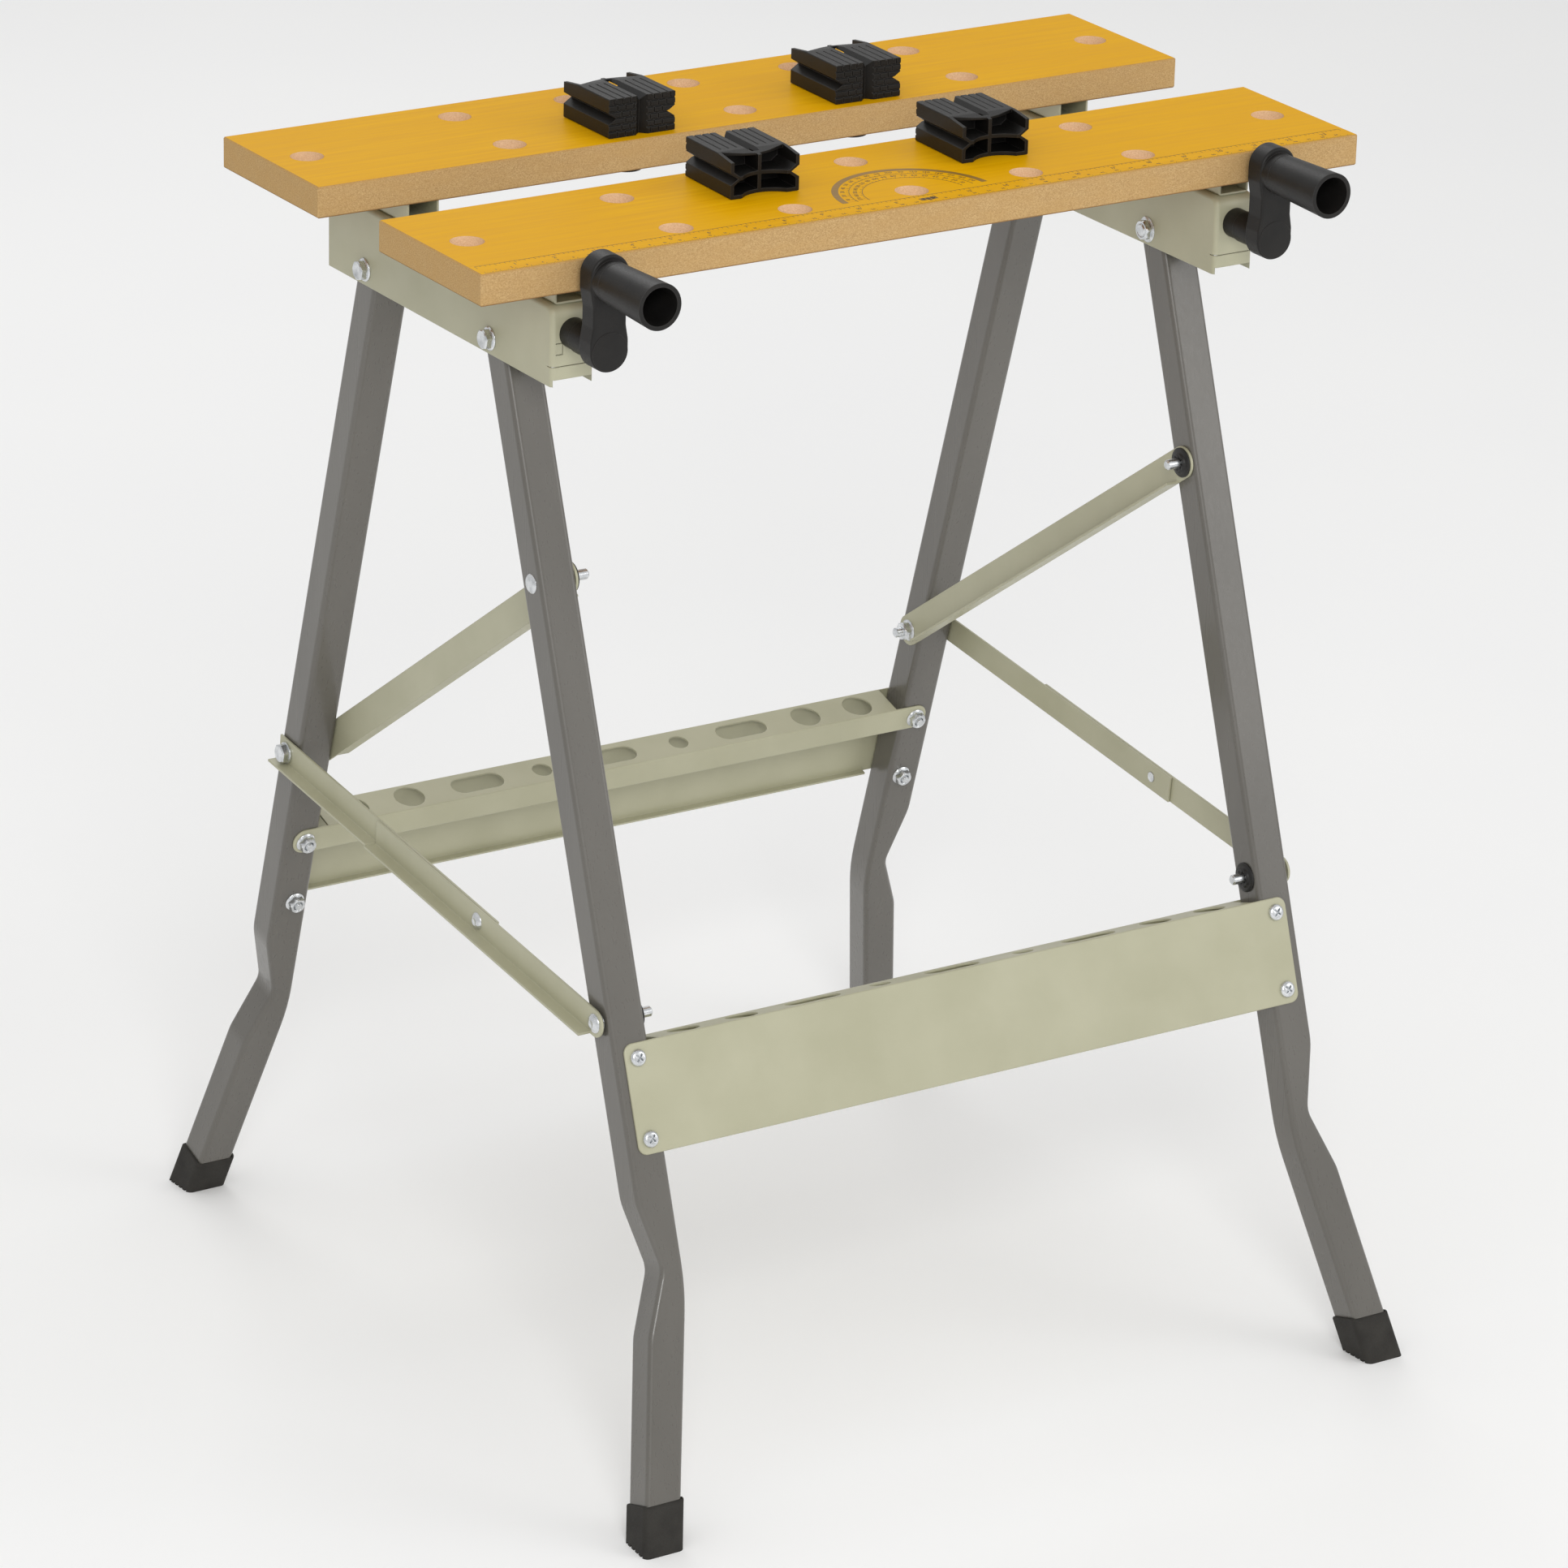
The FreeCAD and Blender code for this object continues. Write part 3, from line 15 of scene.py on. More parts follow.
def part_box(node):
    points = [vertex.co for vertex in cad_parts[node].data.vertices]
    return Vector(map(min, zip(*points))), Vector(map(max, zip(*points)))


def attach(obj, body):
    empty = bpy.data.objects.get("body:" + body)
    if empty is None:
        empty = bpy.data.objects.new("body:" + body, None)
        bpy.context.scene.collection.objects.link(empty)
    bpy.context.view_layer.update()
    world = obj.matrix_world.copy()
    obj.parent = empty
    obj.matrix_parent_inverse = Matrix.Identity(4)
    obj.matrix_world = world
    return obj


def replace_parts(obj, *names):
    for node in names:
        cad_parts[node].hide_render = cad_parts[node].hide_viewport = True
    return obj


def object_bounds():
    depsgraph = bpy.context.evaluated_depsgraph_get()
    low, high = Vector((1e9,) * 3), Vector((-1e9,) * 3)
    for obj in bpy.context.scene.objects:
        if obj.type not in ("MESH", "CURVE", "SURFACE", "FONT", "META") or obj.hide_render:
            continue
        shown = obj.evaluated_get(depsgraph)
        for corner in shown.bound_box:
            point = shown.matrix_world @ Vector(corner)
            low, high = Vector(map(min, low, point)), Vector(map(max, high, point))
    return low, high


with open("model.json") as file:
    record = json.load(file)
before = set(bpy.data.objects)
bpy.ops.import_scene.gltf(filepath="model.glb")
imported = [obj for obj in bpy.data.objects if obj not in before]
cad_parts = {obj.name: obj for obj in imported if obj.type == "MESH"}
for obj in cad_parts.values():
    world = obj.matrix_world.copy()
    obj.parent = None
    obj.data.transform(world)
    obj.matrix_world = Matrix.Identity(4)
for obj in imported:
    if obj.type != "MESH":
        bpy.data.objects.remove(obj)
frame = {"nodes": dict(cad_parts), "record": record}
cad_low, cad_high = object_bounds()
nodes = frame["nodes"]
scene = bpy.context.scene

MM = 0.001
X, Y, Z = Vector((1, 0, 0)), Vector((0, 1, 0)), Vector((0, 0, 1))


# ---------------------------------------------------------------- node helpers
def linear(red, green, blue):
    """A 0-255 display colour as linear light."""
    def one(value):
        value /= 255
        return value / 12.92 if value <= 0.04045 else ((value + 0.055) / 1.055) ** 2.4
    return (one(red), one(green), one(blue), 1.0)


class Paint:
    """A Principled material with short calls for the nodes that feed it."""

    def __init__(self, name, roughness, metallic=0.0, **sockets):
        self.material = bpy.data.materials.new(name)
        self.material.use_nodes = True
        self.tree = self.material.node_tree
        self.shader = self.tree.nodes["Principled BSDF"]
        self.shader.inputs["Roughness"].default_value = roughness
        self.shader.inputs["Metallic"].default_value = metallic
        for socket, value in sockets.items():
            self.shader.inputs[socket.replace("_", " ")].default_value = value
        self.place = self.node("ShaderNodeTexCoord").outputs["Object"]

    def node(self, kind, **settings):
        made = self.tree.nodes.new(kind)
        for key, value in settings.items():
            setattr(made, key, value)
        return made

    def link(self, source, target):
        if isinstance(source, (int, float, tuple)):
            target.default_value = source
        else:
            self.tree.links.new(source, target)

    def into(self, socket, source):
        self.link(source, self.shader.inputs[socket])

    def maths(self, operation, a, b=0.0):
        made = self.node("ShaderNodeMath", operation=operation)
        self.link(a, made.inputs[0])
        self.link(b, made.inputs[1])
        return made.outputs[0]

    def stretched(self, scale):
        made = self.node("ShaderNodeMapping")
        self.link(self.place, made.inputs["Vector"])
        made.inputs["Scale"].default_value = scale
        return made.outputs[0]

    def noise(self, size, detail=2.0, stretch=None, rough=0.5):
        """Noise whose grain is about size metres across."""
        made = self.node("ShaderNodeTexNoise")
        self.link(self.stretched(stretch) if stretch else self.place, made.inputs["Vector"])
        made.inputs["Scale"].default_value = 1 / size
        made.inputs["Detail"].default_value = detail
        made.inputs["Roughness"].default_value = rough
        return made.outputs["Fac"]

    def spread(self, source, low, high, out_low=0.0, out_high=1.0):
        """Map low..high of the source to out_low..out_high, and hold the ends."""
        made = self.node("ShaderNodeMapRange")
        self.link(source, made.inputs["Value"])
        for k, value in enumerate((low, high, out_low, out_high), start=1):
            made.inputs[k].default_value = value
        return made.outputs[0]

    def blend(self, factor, first, second):
        """A colour from first to second as factor goes from 0 to 1."""
        made = self.node("ShaderNodeMix", data_type="RGBA")
        self.link(factor, made.inputs[0])
        self.link(first, made.inputs[6])
        self.link(second, made.inputs[7])
        return made.outputs[2]

    def blend_value(self, factor, first, second):
        """The same for plain numbers."""
        made = self.node("ShaderNodeMix", data_type="FLOAT")
        self.link(factor, made.inputs[0])
        self.link(first, made.inputs[2])
        self.link(second, made.inputs[3])
        return made.outputs[0]

    def axis(self, vector, name):
        made = self.node("ShaderNodeSeparateXYZ")
        self.link(vector, made.inputs[0])
        return made.outputs[name]

    def facing(self, name):
        """One component of the true surface normal, in the object's own axes."""
        turned = self.node("ShaderNodeVectorTransform", vector_type="NORMAL",
                           convert_from="WORLD", convert_to="OBJECT")
        self.link(self.node("ShaderNodeNewGeometry").outputs["True Normal"], turned.inputs[0])
        return self.axis(turned.outputs[0], name)

    def rounded(self, radius):
        """A normal that makes sharp edges look rounded by radius."""
        made = self.node("ShaderNodeBevel", samples=6)
        made.inputs["Radius"].default_value = radius
        return made.outputs[0]

    def edge(self, radius, low=0.02, high=0.25):
        """1 on sharp edges, fading out within radius of them."""
        dot = self.node("ShaderNodeVectorMath", operation="DOT_PRODUCT")
        self.link(self.rounded(radius), dot.inputs[0])
        self.link(self.node("ShaderNodeNewGeometry").outputs["Normal"], dot.inputs[1])
        away = self.maths("SUBTRACT", 1.0, dot.outputs["Value"])
        return self.spread(away, low, high)

    def relief(self, height, depth, radius=None):
        """Bump of the given depth in metres, over rounded edges if a radius is given."""
        made = self.node("ShaderNodeBump")
        made.inputs["Distance"].default_value = depth
        self.link(height, made.inputs["Height"])
        if radius:
            self.link(self.rounded(radius), made.inputs["Normal"])
        self.into("Normal", made.outputs[0])


# ---------------------------------------------------------------- materials
BOARD_MARGIN = 2 * MM


def bored_faces(paint):
    """1 on the walls of the holes through either jaw board, 0 on its outer edges."""
    inside = None
    for jaw in ("front_jaw", "rear_jaw"):
        low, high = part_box(jaw)
        here = None
        for name, first, last in (("X", low.x, high.x), ("Y", low.y, high.y)):
            off = paint.maths("ABSOLUTE", paint.maths("SUBTRACT", paint.axis(paint.place, name),
                                                      (first + last) / 2))
            near = paint.maths("LESS_THAN", off, (last - first) / 2 - BOARD_MARGIN)
            here = near if here is None else paint.maths("MULTIPLY", here, near)
        inside = here if inside is None else paint.maths("ADD", inside, here)
    level = paint.maths("LESS_THAN", paint.maths("ABSOLUTE", paint.facing("Z")), 0.5)
    return paint.maths("MULTIPLY", inside, level)


def jaw_board(low, high):
    """MDF board: satin yellow print on top, speckled raw edges, and hole walls painted lighter to
    offset the shade inside the bores.
    """
    paint = Paint("jaw_board", 0.5, Specular_IOR_Level=0.03)
    streak = paint.noise(3.2 * MM, 5, (0.045, 1, 1), 0.62)
    cloud = paint.noise(60 * MM, 3, (0.5, 1.4, 1))
    top = paint.blend(paint.spread(streak, 0.3, 0.72), linear(222, 160, 0), linear(234, 178, 10))
    top = paint.blend(paint.spread(cloud, 0.3, 0.7, 0, 0.55), top, linear(226, 166, 0))
    fibre = paint.noise(0.9 * MM, 6, (1, 1, 1.6), 0.68)
    cloudy = paint.noise(9 * MM, 4, (0.45, 1, 1.3), 0.6)
    raw = paint.blend(paint.spread(fibre, 0.34, 0.66), linear(164, 130, 86), linear(206, 174, 124))
    raw = paint.blend(paint.spread(cloudy, 0.35, 0.7, 0, 0.5), raw, linear(186, 150, 98))
    fleck = paint.spread(paint.noise(1.9 * MM, 3, (1, 1, 1.5), 0.75), 0.67, 0.73)
    raw = paint.blend(paint.maths("MULTIPLY", fleck, 0.55), raw, linear(120, 88, 54))
    height = paint.axis(paint.place, "Z")
    skin = paint.spread(height, low + 0.2 * MM, low + 1.3 * MM, 1, 0)
    raw = paint.blend(paint.maths("MULTIPLY", skin, 0.75), raw, linear(120, 84, 52))
    crust = paint.spread(height, high - 1.2 * MM, high - 0.2 * MM, 0, 0.35)
    raw = paint.blend(crust, raw, linear(190, 138, 60))
    up = paint.facing("Z")
    printed = paint.spread(up, 0.8, 0.9)
    under = paint.spread(up, -0.9, -0.8, 1, 0)
    base = paint.blend(paint.spread(cloudy, 0.3, 0.7), linear(150, 112, 72),
                       linear(168, 130, 88))
    raw = paint.blend(under, raw, base)
    # Painted light: the hole walls get a paler MDF colour than the outer edges, to offset the shade
    # that falls inside the bores.
    bore = paint.blend(paint.spread(fibre, 0.34, 0.66), linear(214, 176, 136),
                       linear(240, 208, 172))
    raw = paint.blend(bored_faces(paint), raw, bore)
    paint.into("Base Color", paint.blend(printed, raw, top))
    satin = paint.spread(streak, 0.3, 0.7, 0.34, 0.42)
    coarse = paint.spread(fibre, 0.3, 0.7, 0.72, 0.86)
    paint.into("Roughness", paint.blend_value(printed, coarse, satin))
    grain = paint.maths("MULTIPLY", fibre, paint.spread(up, 0.8, 0.9, 1.0, 0.0))
    paint.relief(paint.maths("ADD", grain, paint.maths("MULTIPLY", streak, 0.12)), 0.12 * MM,
                 0.5 * MM)
    return paint.material


def powder_coat(name, dark, light, rough):
    """Satin powder coat: fine orange peel, soft bends, and a painted highlight that makes it a little
    lighter along the edges.
    """
    paint = Paint(name, rough, Specular_IOR_Level=0.5, Coat_Weight=0.12, Coat_Roughness=0.35)
    cloud = paint.noise(45 * MM, 3)
    colour = paint.blend(paint.spread(cloud, 0.3, 0.7), dark, light)
    speck = paint.spread(paint.noise(0.7 * MM, 2), 0.62, 0.75, 0, 0.25)
    colour = paint.blend(speck, colour, light)
    # Painted highlight: sharp edges blended towards a pale colour, standing in for the gloss catching
    # light on the bends.
    colour = paint.blend(paint.maths("MULTIPLY", paint.edge(0.7 * MM), 0.35), colour,
                         linear(214, 212, 188))
    paint.into("Base Color", colour)
    blotch = paint.noise(20 * MM, 3)
    paint.into("Roughness", paint.spread(blotch, 0.3, 0.7, rough - 0.04, rough + 0.06))
    paint.relief(paint.noise(1.1 * MM, 2), 0.035 * MM, 0.9 * MM)
    return paint.material


def leg_paint():
    """Gloss grey-brown stove enamel on rolled tube, with faint drawing lines and a painted highlight
    along its edges.
    """
    paint = Paint("leg_tube", 0.3, Specular_IOR_Level=0.55, Coat_Weight=0.35, Coat_Roughness=0.12)
    cloud = paint.noise(70 * MM, 3, (1, 1, 0.3))
    colour = paint.blend(paint.spread(cloud, 0.3, 0.7), linear(88, 85, 79), linear(99, 96, 90))
    # Painted highlight: sharp edges blended towards a lighter brown, standing in for gloss
    # reflections on the tube's corners.
    colour = paint.blend(paint.maths("MULTIPLY", paint.edge(0.6 * MM), 0.3), colour,
                         linear(150, 140, 128))
    paint.into("Base Color", colour)
    lines = paint.noise(1.6 * MM, 3, (1, 1, 0.02))
    paint.into("Roughness", paint.spread(lines, 0.3, 0.7, 0.26, 0.36))
    peel = paint.noise(2.4 * MM, 2)
    paint.relief(paint.maths("ADD", peel, paint.maths("MULTIPLY", lines, 0.5)), 0.02 * MM, 0.8 * MM)
    return paint.material


def moulded(name, dark, light, rough, grain):
    """Spark-textured black moulding with a soft sheen and a painted highlight lighter along its
    edges.
    """
    paint = Paint(name, rough, Specular_IOR_Level=0.28)
    cloud = paint.noise(14 * MM, 4)
    colour = paint.blend(paint.spread(cloud, 0.3, 0.7), dark, light)
    # Painted highlight: sharp edges blended towards grey, standing in for light catching the rounded
    # edges.
    colour = paint.blend(paint.maths("MULTIPLY", paint.edge(0.5 * MM), 0.5), colour,
                         linear(96, 92, 88))
    paint.into("Base Color", colour)
    texture = paint.noise(grain, 3, None, 0.6)
    paint.into("Roughness", paint.spread(texture, 0.3, 0.7, rough - 0.08, rough + 0.08))
    paint.relief(texture, grain * 0.12, 0.5 * MM)
    return paint.material


def bright_metal(name, dark, light, rough):
    """Zinc plate or bright steel: fine satin streaks and cloudy passivation."""
    paint = Paint(name, rough, 1.0)
    cloud = paint.noise(4 * MM, 4)
    colour = paint.blend(paint.spread(cloud, 0.3, 0.7), dark, light)
    paint.into("Base Color", colour)
    fine = paint.noise(0.35 * MM, 3)
    paint.into("Roughness", paint.spread(fine, 0.3, 0.7, rough - 0.08, rough + 0.1))
    paint.relief(fine, 0.02 * MM, 0.3 * MM)
    return paint.material


def ink(name, colour, faded):
    """Screen-printed ink, thin enough in places to show the board's streaks."""
    paint = Paint(name, 0.45, Specular_IOR_Level=0.4)
    streak = paint.noise(2.2 * MM, 5, (0.08, 1, 1), 0.65)
    paint.into("Base Color", paint.blend(paint.spread(streak, 0.35, 0.75), colour, faded))
    paint.relief(streak, 0.01 * MM)
    return paint.material


board_low, board_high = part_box("front_jaw")
SLOT_MATERIALS = {
    "jaw_board": jaw_board(board_low.z, board_high.z),
    "sage_steel": powder_coat("sage_steel", linear(170, 168, 141), linear(178, 176, 150), 0.42),
    "leg_tube": leg_paint(),
    "boot_rubber": moulded("boot_rubber", linear(40, 38, 35), linear(52, 50, 46), 0.72, 0.8 * MM),
    "dog_plastic": moulded("dog_plastic", linear(15, 14, 12), linear(22, 20, 18), 0.46, 0.5 * MM),
    "black_plastic": moulded("black_plastic", linear(22, 21, 20), linear(30, 28, 26), 0.46,
                             0.6 * MM),
    "black_steel": moulded("black_steel", linear(30, 30, 30), linear(42, 41, 40), 0.36, 0.7 * MM),
    "screw_steel": bright_metal("screw_steel", linear(168, 166, 160), linear(206, 204, 198), 0.3),
    "zinc": bright_metal("zinc", linear(196, 199, 201), linear(232, 234, 236), 0.24),
}
for row in frame["record"]["subparts"]:
    mesh = nodes[row["node"]].data
    mesh.materials.clear()
    mesh.materials.append(SLOT_MATERIALS[row["material_slot"]])


# ---------------------------------------------------------------- mesh helpers
def piece(name, mesh, body, material):
    """A finished mesh as a piece that rides on a CAD body."""
    obj = bpy.data.objects.new(name, mesh)
    scene.collection.objects.link(obj)
    mesh.materials.append(material)
    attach(obj, body)
    return obj


def from_bmesh(name, bm):
    bmesh.ops.recalc_face_normals(bm, faces=bm.faces)
    mesh = bpy.data.meshes.new(name)
    bm.to_mesh(mesh)
    bm.free()
    return mesh


def add_prism(bm, outline, low, high):
    """A closed upright prism over a plan outline of (x, y) points, in metres."""
    bottom = [bm.verts.new((x, y, low)) for x, y in outline]
    top = [bm.verts.new((x, y, high)) for x, y in outline]
    bm.faces.new(list(reversed(bottom)))
    bm.faces.new(top)
    count = len(outline)
    for k in range(count):
        after = (k + 1) % count
        bm.faces.new((bottom[k], bottom[after], top[after], top[k]))


# ---------------------------------------------------------------- print on the front jaw
INK_LOW, INK_HIGH = board_high.z - 0.01 * MM, board_high.z + 0.05 * MM
PROTRACTOR = Vector((0, board_low.y + 20 * MM, 0))
FIRST_DEGREE, LAST_DEGREE = 2, 178
ARC_STEPS = 88


def glyph_outlines():
    """Flat meshes of the ten digits at a height of 1, centred on their width."""
    glyphs = {}
    for digit in "0123456789":
        curve = bpy.data.curves.new("digit", "FONT")
        curve.body = digit
        curve.resolution_u = 3
        curve.extrude = 0.1
        holder = bpy.data.objects.new("digit", curve)
        scene.collection.objects.link(holder)
        bpy.context.view_layer.update()
        mesh = bpy.data.meshes.new_from_object(holder)
        corners = [v.co.copy() for v in mesh.vertices]
        faces = [tuple(p.vertices) for p in mesh.polygons]
        bpy.data.objects.remove(holder)
        bpy.data.curves.remove(curve)
        bpy.data.meshes.remove(mesh)
        low = min(c.y for c in corners)
        high = max(c.y for c in corners)
        left = min(c.x for c in corners)
        right = max(c.x for c in corners)
        scale = 1 / (high - low)
        middle = (left + right) / 2
        points = [Vector(((c.x - middle) * scale, (c.y - low) * scale, c.z)) for c in corners]
        glyphs[digit] = (points, faces, (right - left) * scale)
    return glyphs


GLYPHS = glyph_outlines()


def stamp(bm, text, x, y, height, angle=0.0):
    """A number, centred on (x, y), read along the direction of angle."""
    gap = 0.16
    widths = [GLYPHS[c][2] for c in text]
    along = -(sum(widths) + gap * (len(text) - 1)) / 2
    turn = Matrix.Rotation(angle, 3, "Z")
    for character, width in zip(text, widths):
        points, faces, _ = GLYPHS[character]
        made = []
        for point in points:
            flat = turn @ Vector(((point.x + along + width / 2) * height,
                                  (point.y - 0.5) * height, 0))
            level = INK_HIGH if point.z > 0 else INK_LOW
            made.append(bm.verts.new((x + flat.x, y + flat.y, level)))
        for face in faces:
            bm.faces.new([made[k] for k in face])
        along += width + gap


def bar(bm, x0, y0, x1, y1):
    """A printed rectangle between two corners."""
    add_prism(bm, [(x0, y0), (x1, y0), (x1, y1), (x0, y1)], INK_LOW, INK_HIGH)


def arc_band(bm, inner, outer):
    """A flat half ring about the protractor's centre, radii in mm."""
    span = LAST_DEGREE - FIRST_DEGREE
    turns = [math.radians(FIRST_DEGREE + span * k / ARC_STEPS) for k in range(ARC_STEPS + 1)]
    outline = []
    for radius, order in ((outer * MM, turns), (inner * MM, reversed(turns))):
        outline += [(PROTRACTOR.x + radius * math.cos(a), PROTRACTOR.y + radius * math.sin(a))
                    for a in order]
    add_prism(bm, outline, INK_LOW, INK_HIGH)


def ruler():
    """Inches over centimetres along the front edge."""
    bm = bmesh.new()
    edge = board_low.y
    left, right = board_low.x + 4 * MM, board_high.x - 4 * MM
    line, thin = 14.7 * MM, 0.22 * MM
    bar(bm, left, edge + line, right, edge + line + 0.3 * MM)
    inch = 25.4 * MM
    eighths = int((right - left) / inch * 8)
    for k in range(eighths + 1):
        x = left + k * inch / 8
        drop = {0: 3.6, 4: 2.8, 2: 2.1, 6: 2.1}.get(k % 8, 1.5) * MM
        bar(bm, x - thin / 2, edge + line - drop, x + thin / 2, edge + line + 0.01 * MM)
        if k and k % 8 == 0:
            stamp(bm, str(k // 8), x - 2.2 * MM, edge + 9.6 * MM, 3.0 * MM)
    millimetres = int((right - left) / MM)
    for k in range(millimetres + 1):
        x = left + k * MM
        rise = (2.6 if k % 10 == 0 else 1.9 if k % 5 == 0 else 1.2) * MM
        bar(bm, x - thin / 2, edge + 0.9 * MM, x + thin / 2, edge + 0.9 * MM + rise)
        if k % 10 == 0 and 0 < k < millimetres - 3:
            stamp(bm, str(k // 10), x - 1.6 * MM, edge + 5.0 * MM, 1.9 * MM)
    return bm


def protractor(bm):
    """A half circle of degrees behind the ruler: ticks, and numbers both ways round."""
    centre = PROTRACTOR
    for inner, outer in ((39.6, 39.9), (31.8, 32.1)):
        arc_band(bm, inner, outer)
    for step in range(1, 36):
        degrees = 5 * step
        angle = math.radians(degrees)
        out = Vector((math.cos(angle), math.sin(angle), 0))
        side = Vector((-out.y, out.x, 0)) * 0.12 * MM
        reach = 1.6 if degrees % 10 == 0 else 0.9
        for start in (39.9, 32.1):
            corners = [centre + out * start * MM - side, centre + out * (start + reach) * MM - side,
                       centre + out * (start + reach) * MM + side, centre + out * start * MM + side]
            add_prism(bm, [(c.x, c.y) for c in corners], INK_LOW, INK_HIGH)
        if degrees % 10 == 0:
            for radius, number in ((43.6, 180 - degrees), (36.2, degrees)):
                spot = centre + out * radius * MM
                stamp(bm, str(number), spot.x, spot.y, 2.5 * MM, angle - math.pi / 2)


def jaw_print():
    """The ruler and protractor, the band round it, and a plain block where letters would be."""
    numbers = ruler()
    protractor(numbers)
    dark = ink("ink_dark", linear(62, 42, 6), linear(88, 60, 8))
    piece("front_jaw_print", from_bmesh("front_jaw_print", numbers), "top", dark)
    band = bmesh.new()
    arc_band(band, 46, 50)
    pale = ink("ink_band", linear(134, 98, 8), linear(156, 114, 8))
    piece("front_jaw_band", from_bmesh("front_jaw_band", band), "top", pale)
    block = bmesh.new()
    for k in range(11):
        x = (k - 5.5) * 1.05 * MM
        wide = (0.95 if k % 3 else 0.6) * MM
        bar(block, x, board_low.y + 6 * MM, x + wide, board_low.y + 10 * MM)
    black = ink("ink_block", linear(48, 34, 10), linear(74, 54, 16))
    piece("front_jaw_block", from_bmesh("front_jaw_block", block), "top", black)


jaw_print()


# ---------------------------------------------------------------- vise screws
THREAD_PITCH, THREAD_DEPTH = 4 * MM, 0.9 * MM
PLAIN_FRONT = 30 * MM
AROUND, PER_TURN = 20, 6


def thread_cut(y, low, share):
    """How deep the thread is cut at a place along the rod and a share of a turn round it."""
    if y < low + PLAIN_FRONT:
        return 0
    phase = (y / THREAD_PITCH - share) % 1
    return THREAD_DEPTH * min(1, max(0, 2.2 * (0.5 - abs(phase - 0.5)) - 0.1))


def threaded_rod(side):
    """A vise screw with its thread cut in, along Y."""
    node, name = "lead_screw_" + side, "lead_screw_thread_" + side
    low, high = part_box(node)
    axis = (low + high) / 2
    radius = (high.x - low.x) / 2
    rings = int((high.y - low.y) / THREAD_PITCH * PER_TURN)
    bm = bmesh.new()
    previous = None
    for k in range(rings + 1):
        y = low.y + (high.y - low.y) * k / rings
        ring = []
        for s in range(AROUND):
            r = radius - (THREAD_DEPTH if k == rings else thread_cut(y, low.y, s / AROUND))
            angle = math.tau * s / AROUND
            ring.append(bm.verts.new((axis.x + r * math.cos(angle), y,
                                      axis.z + r * math.sin(angle))))
        if previous:
            for s in range(AROUND):
                after = (s + 1) % AROUND
                bm.faces.new((previous[s], previous[after], ring[after], ring[s]))
        else:
            bm.faces.new(ring)
        previous = ring
    bm.faces.new(previous)
    rod = piece(name, from_bmesh(name, bm), "crank_" + side,
                SLOT_MATERIALS["screw_steel"])
    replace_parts(rod, node)


for side in ("left", "right"):
    threaded_rod(side)


# ---------------------------------------------------------------- turned fasteners
# A fastener is turned from rings of (distance back from its outer end, radius at an angle), in mm.
SIDES = 48
SHARP = math.radians(35)
MERGE = 0.001 * MM
RAIL_PIN, LINK_PIN, PANEL_PIN = 4, 3.2, 3


def disc(radius):
    """The same radius at every angle."""
    return lambda angle: radius * MM


def hexagon(corner, limit=99):
    """A hexagon's radius at an angle, cut back to a circle of radius limit."""
    def radius(angle):
        off = math.fmod(angle, math.pi / 3) - math.pi / 6
        return min(limit, corner * math.cos(math.pi / 6) / math.cos(off)) * MM
    return radius


def cross(reach, half):
    """A cross-shaped driver recess."""
    def radius(angle):
        off = math.fmod(angle + math.pi / 4, math.pi / 2) - math.pi / 4
        return min(reach, half / max(abs(math.sin(off)), 1e-6)) * MM
    return radius


def toothed(root, tip, count, share):
    """A hole with narrow radial slits, as in a push washer."""
    return lambda angle: (tip if (angle * count / math.tau) % 1 < share else root) * MM


def domed(width, height, steps=4):
    """Rings of a low dome, from near its crown down to its rim."""
    rings = []
    for k in range(1, steps + 1):
        turn = math.pi / 2 * k / steps
        rings.append((height * (1 - math.cos(turn)), disc(width * math.sin(turn))))
    return rings


def threads(start, end, radius, pitch, depth):
    """Thread crests and roots between two distances."""
    rings, at = [], start
    while at + pitch <= end:
        rings += [(at, disc(radius)), (at + pitch * 0.5, disc(radius - depth))]
        at += pitch
    return rings


def middle_of(points):
    return sum(points, Vector()) / len(points)


def islands(node):
    """The separate solids of a CAD node, each as a list of points."""
    bm = bmesh.new()
    bm.from_mesh(nodes[node].data)
    bmesh.ops.remove_doubles(bm, verts=bm.verts, dist=MERGE)
    waiting = set(bm.verts)
    found = []
    for first in bm.verts:
        if first not in waiting:
            continue
        waiting.remove(first)
        group, edge = [first], [first]
        while edge:
            here = edge.pop()
            for link in here.link_edges:
                other = link.other_vert(here)
                if other in waiting:
                    waiting.remove(other)
                    group.append(other)
                    edge.append(other)
        found.append([v.co.copy() for v in group])
    bm.free()
    return sorted(found, key=lambda points: tuple(round(c, 4) for c in middle_of(points)))


def frame_of(points, out):
    """The point where the axis along out leaves an island, and the island's length."""
    side = out.orthogonal().normalized()
    other = out.cross(side)
    spans = []
    for axis in (side, other, out):
        along = [p.dot(axis) for p in points]
        spans.append((min(along), max(along)))
    centre = side * sum(spans[0]) / 2 + other * sum(spans[1]) / 2
    return centre + out * spans[2][1], (spans[2][1] - spans[2][0]) / MM


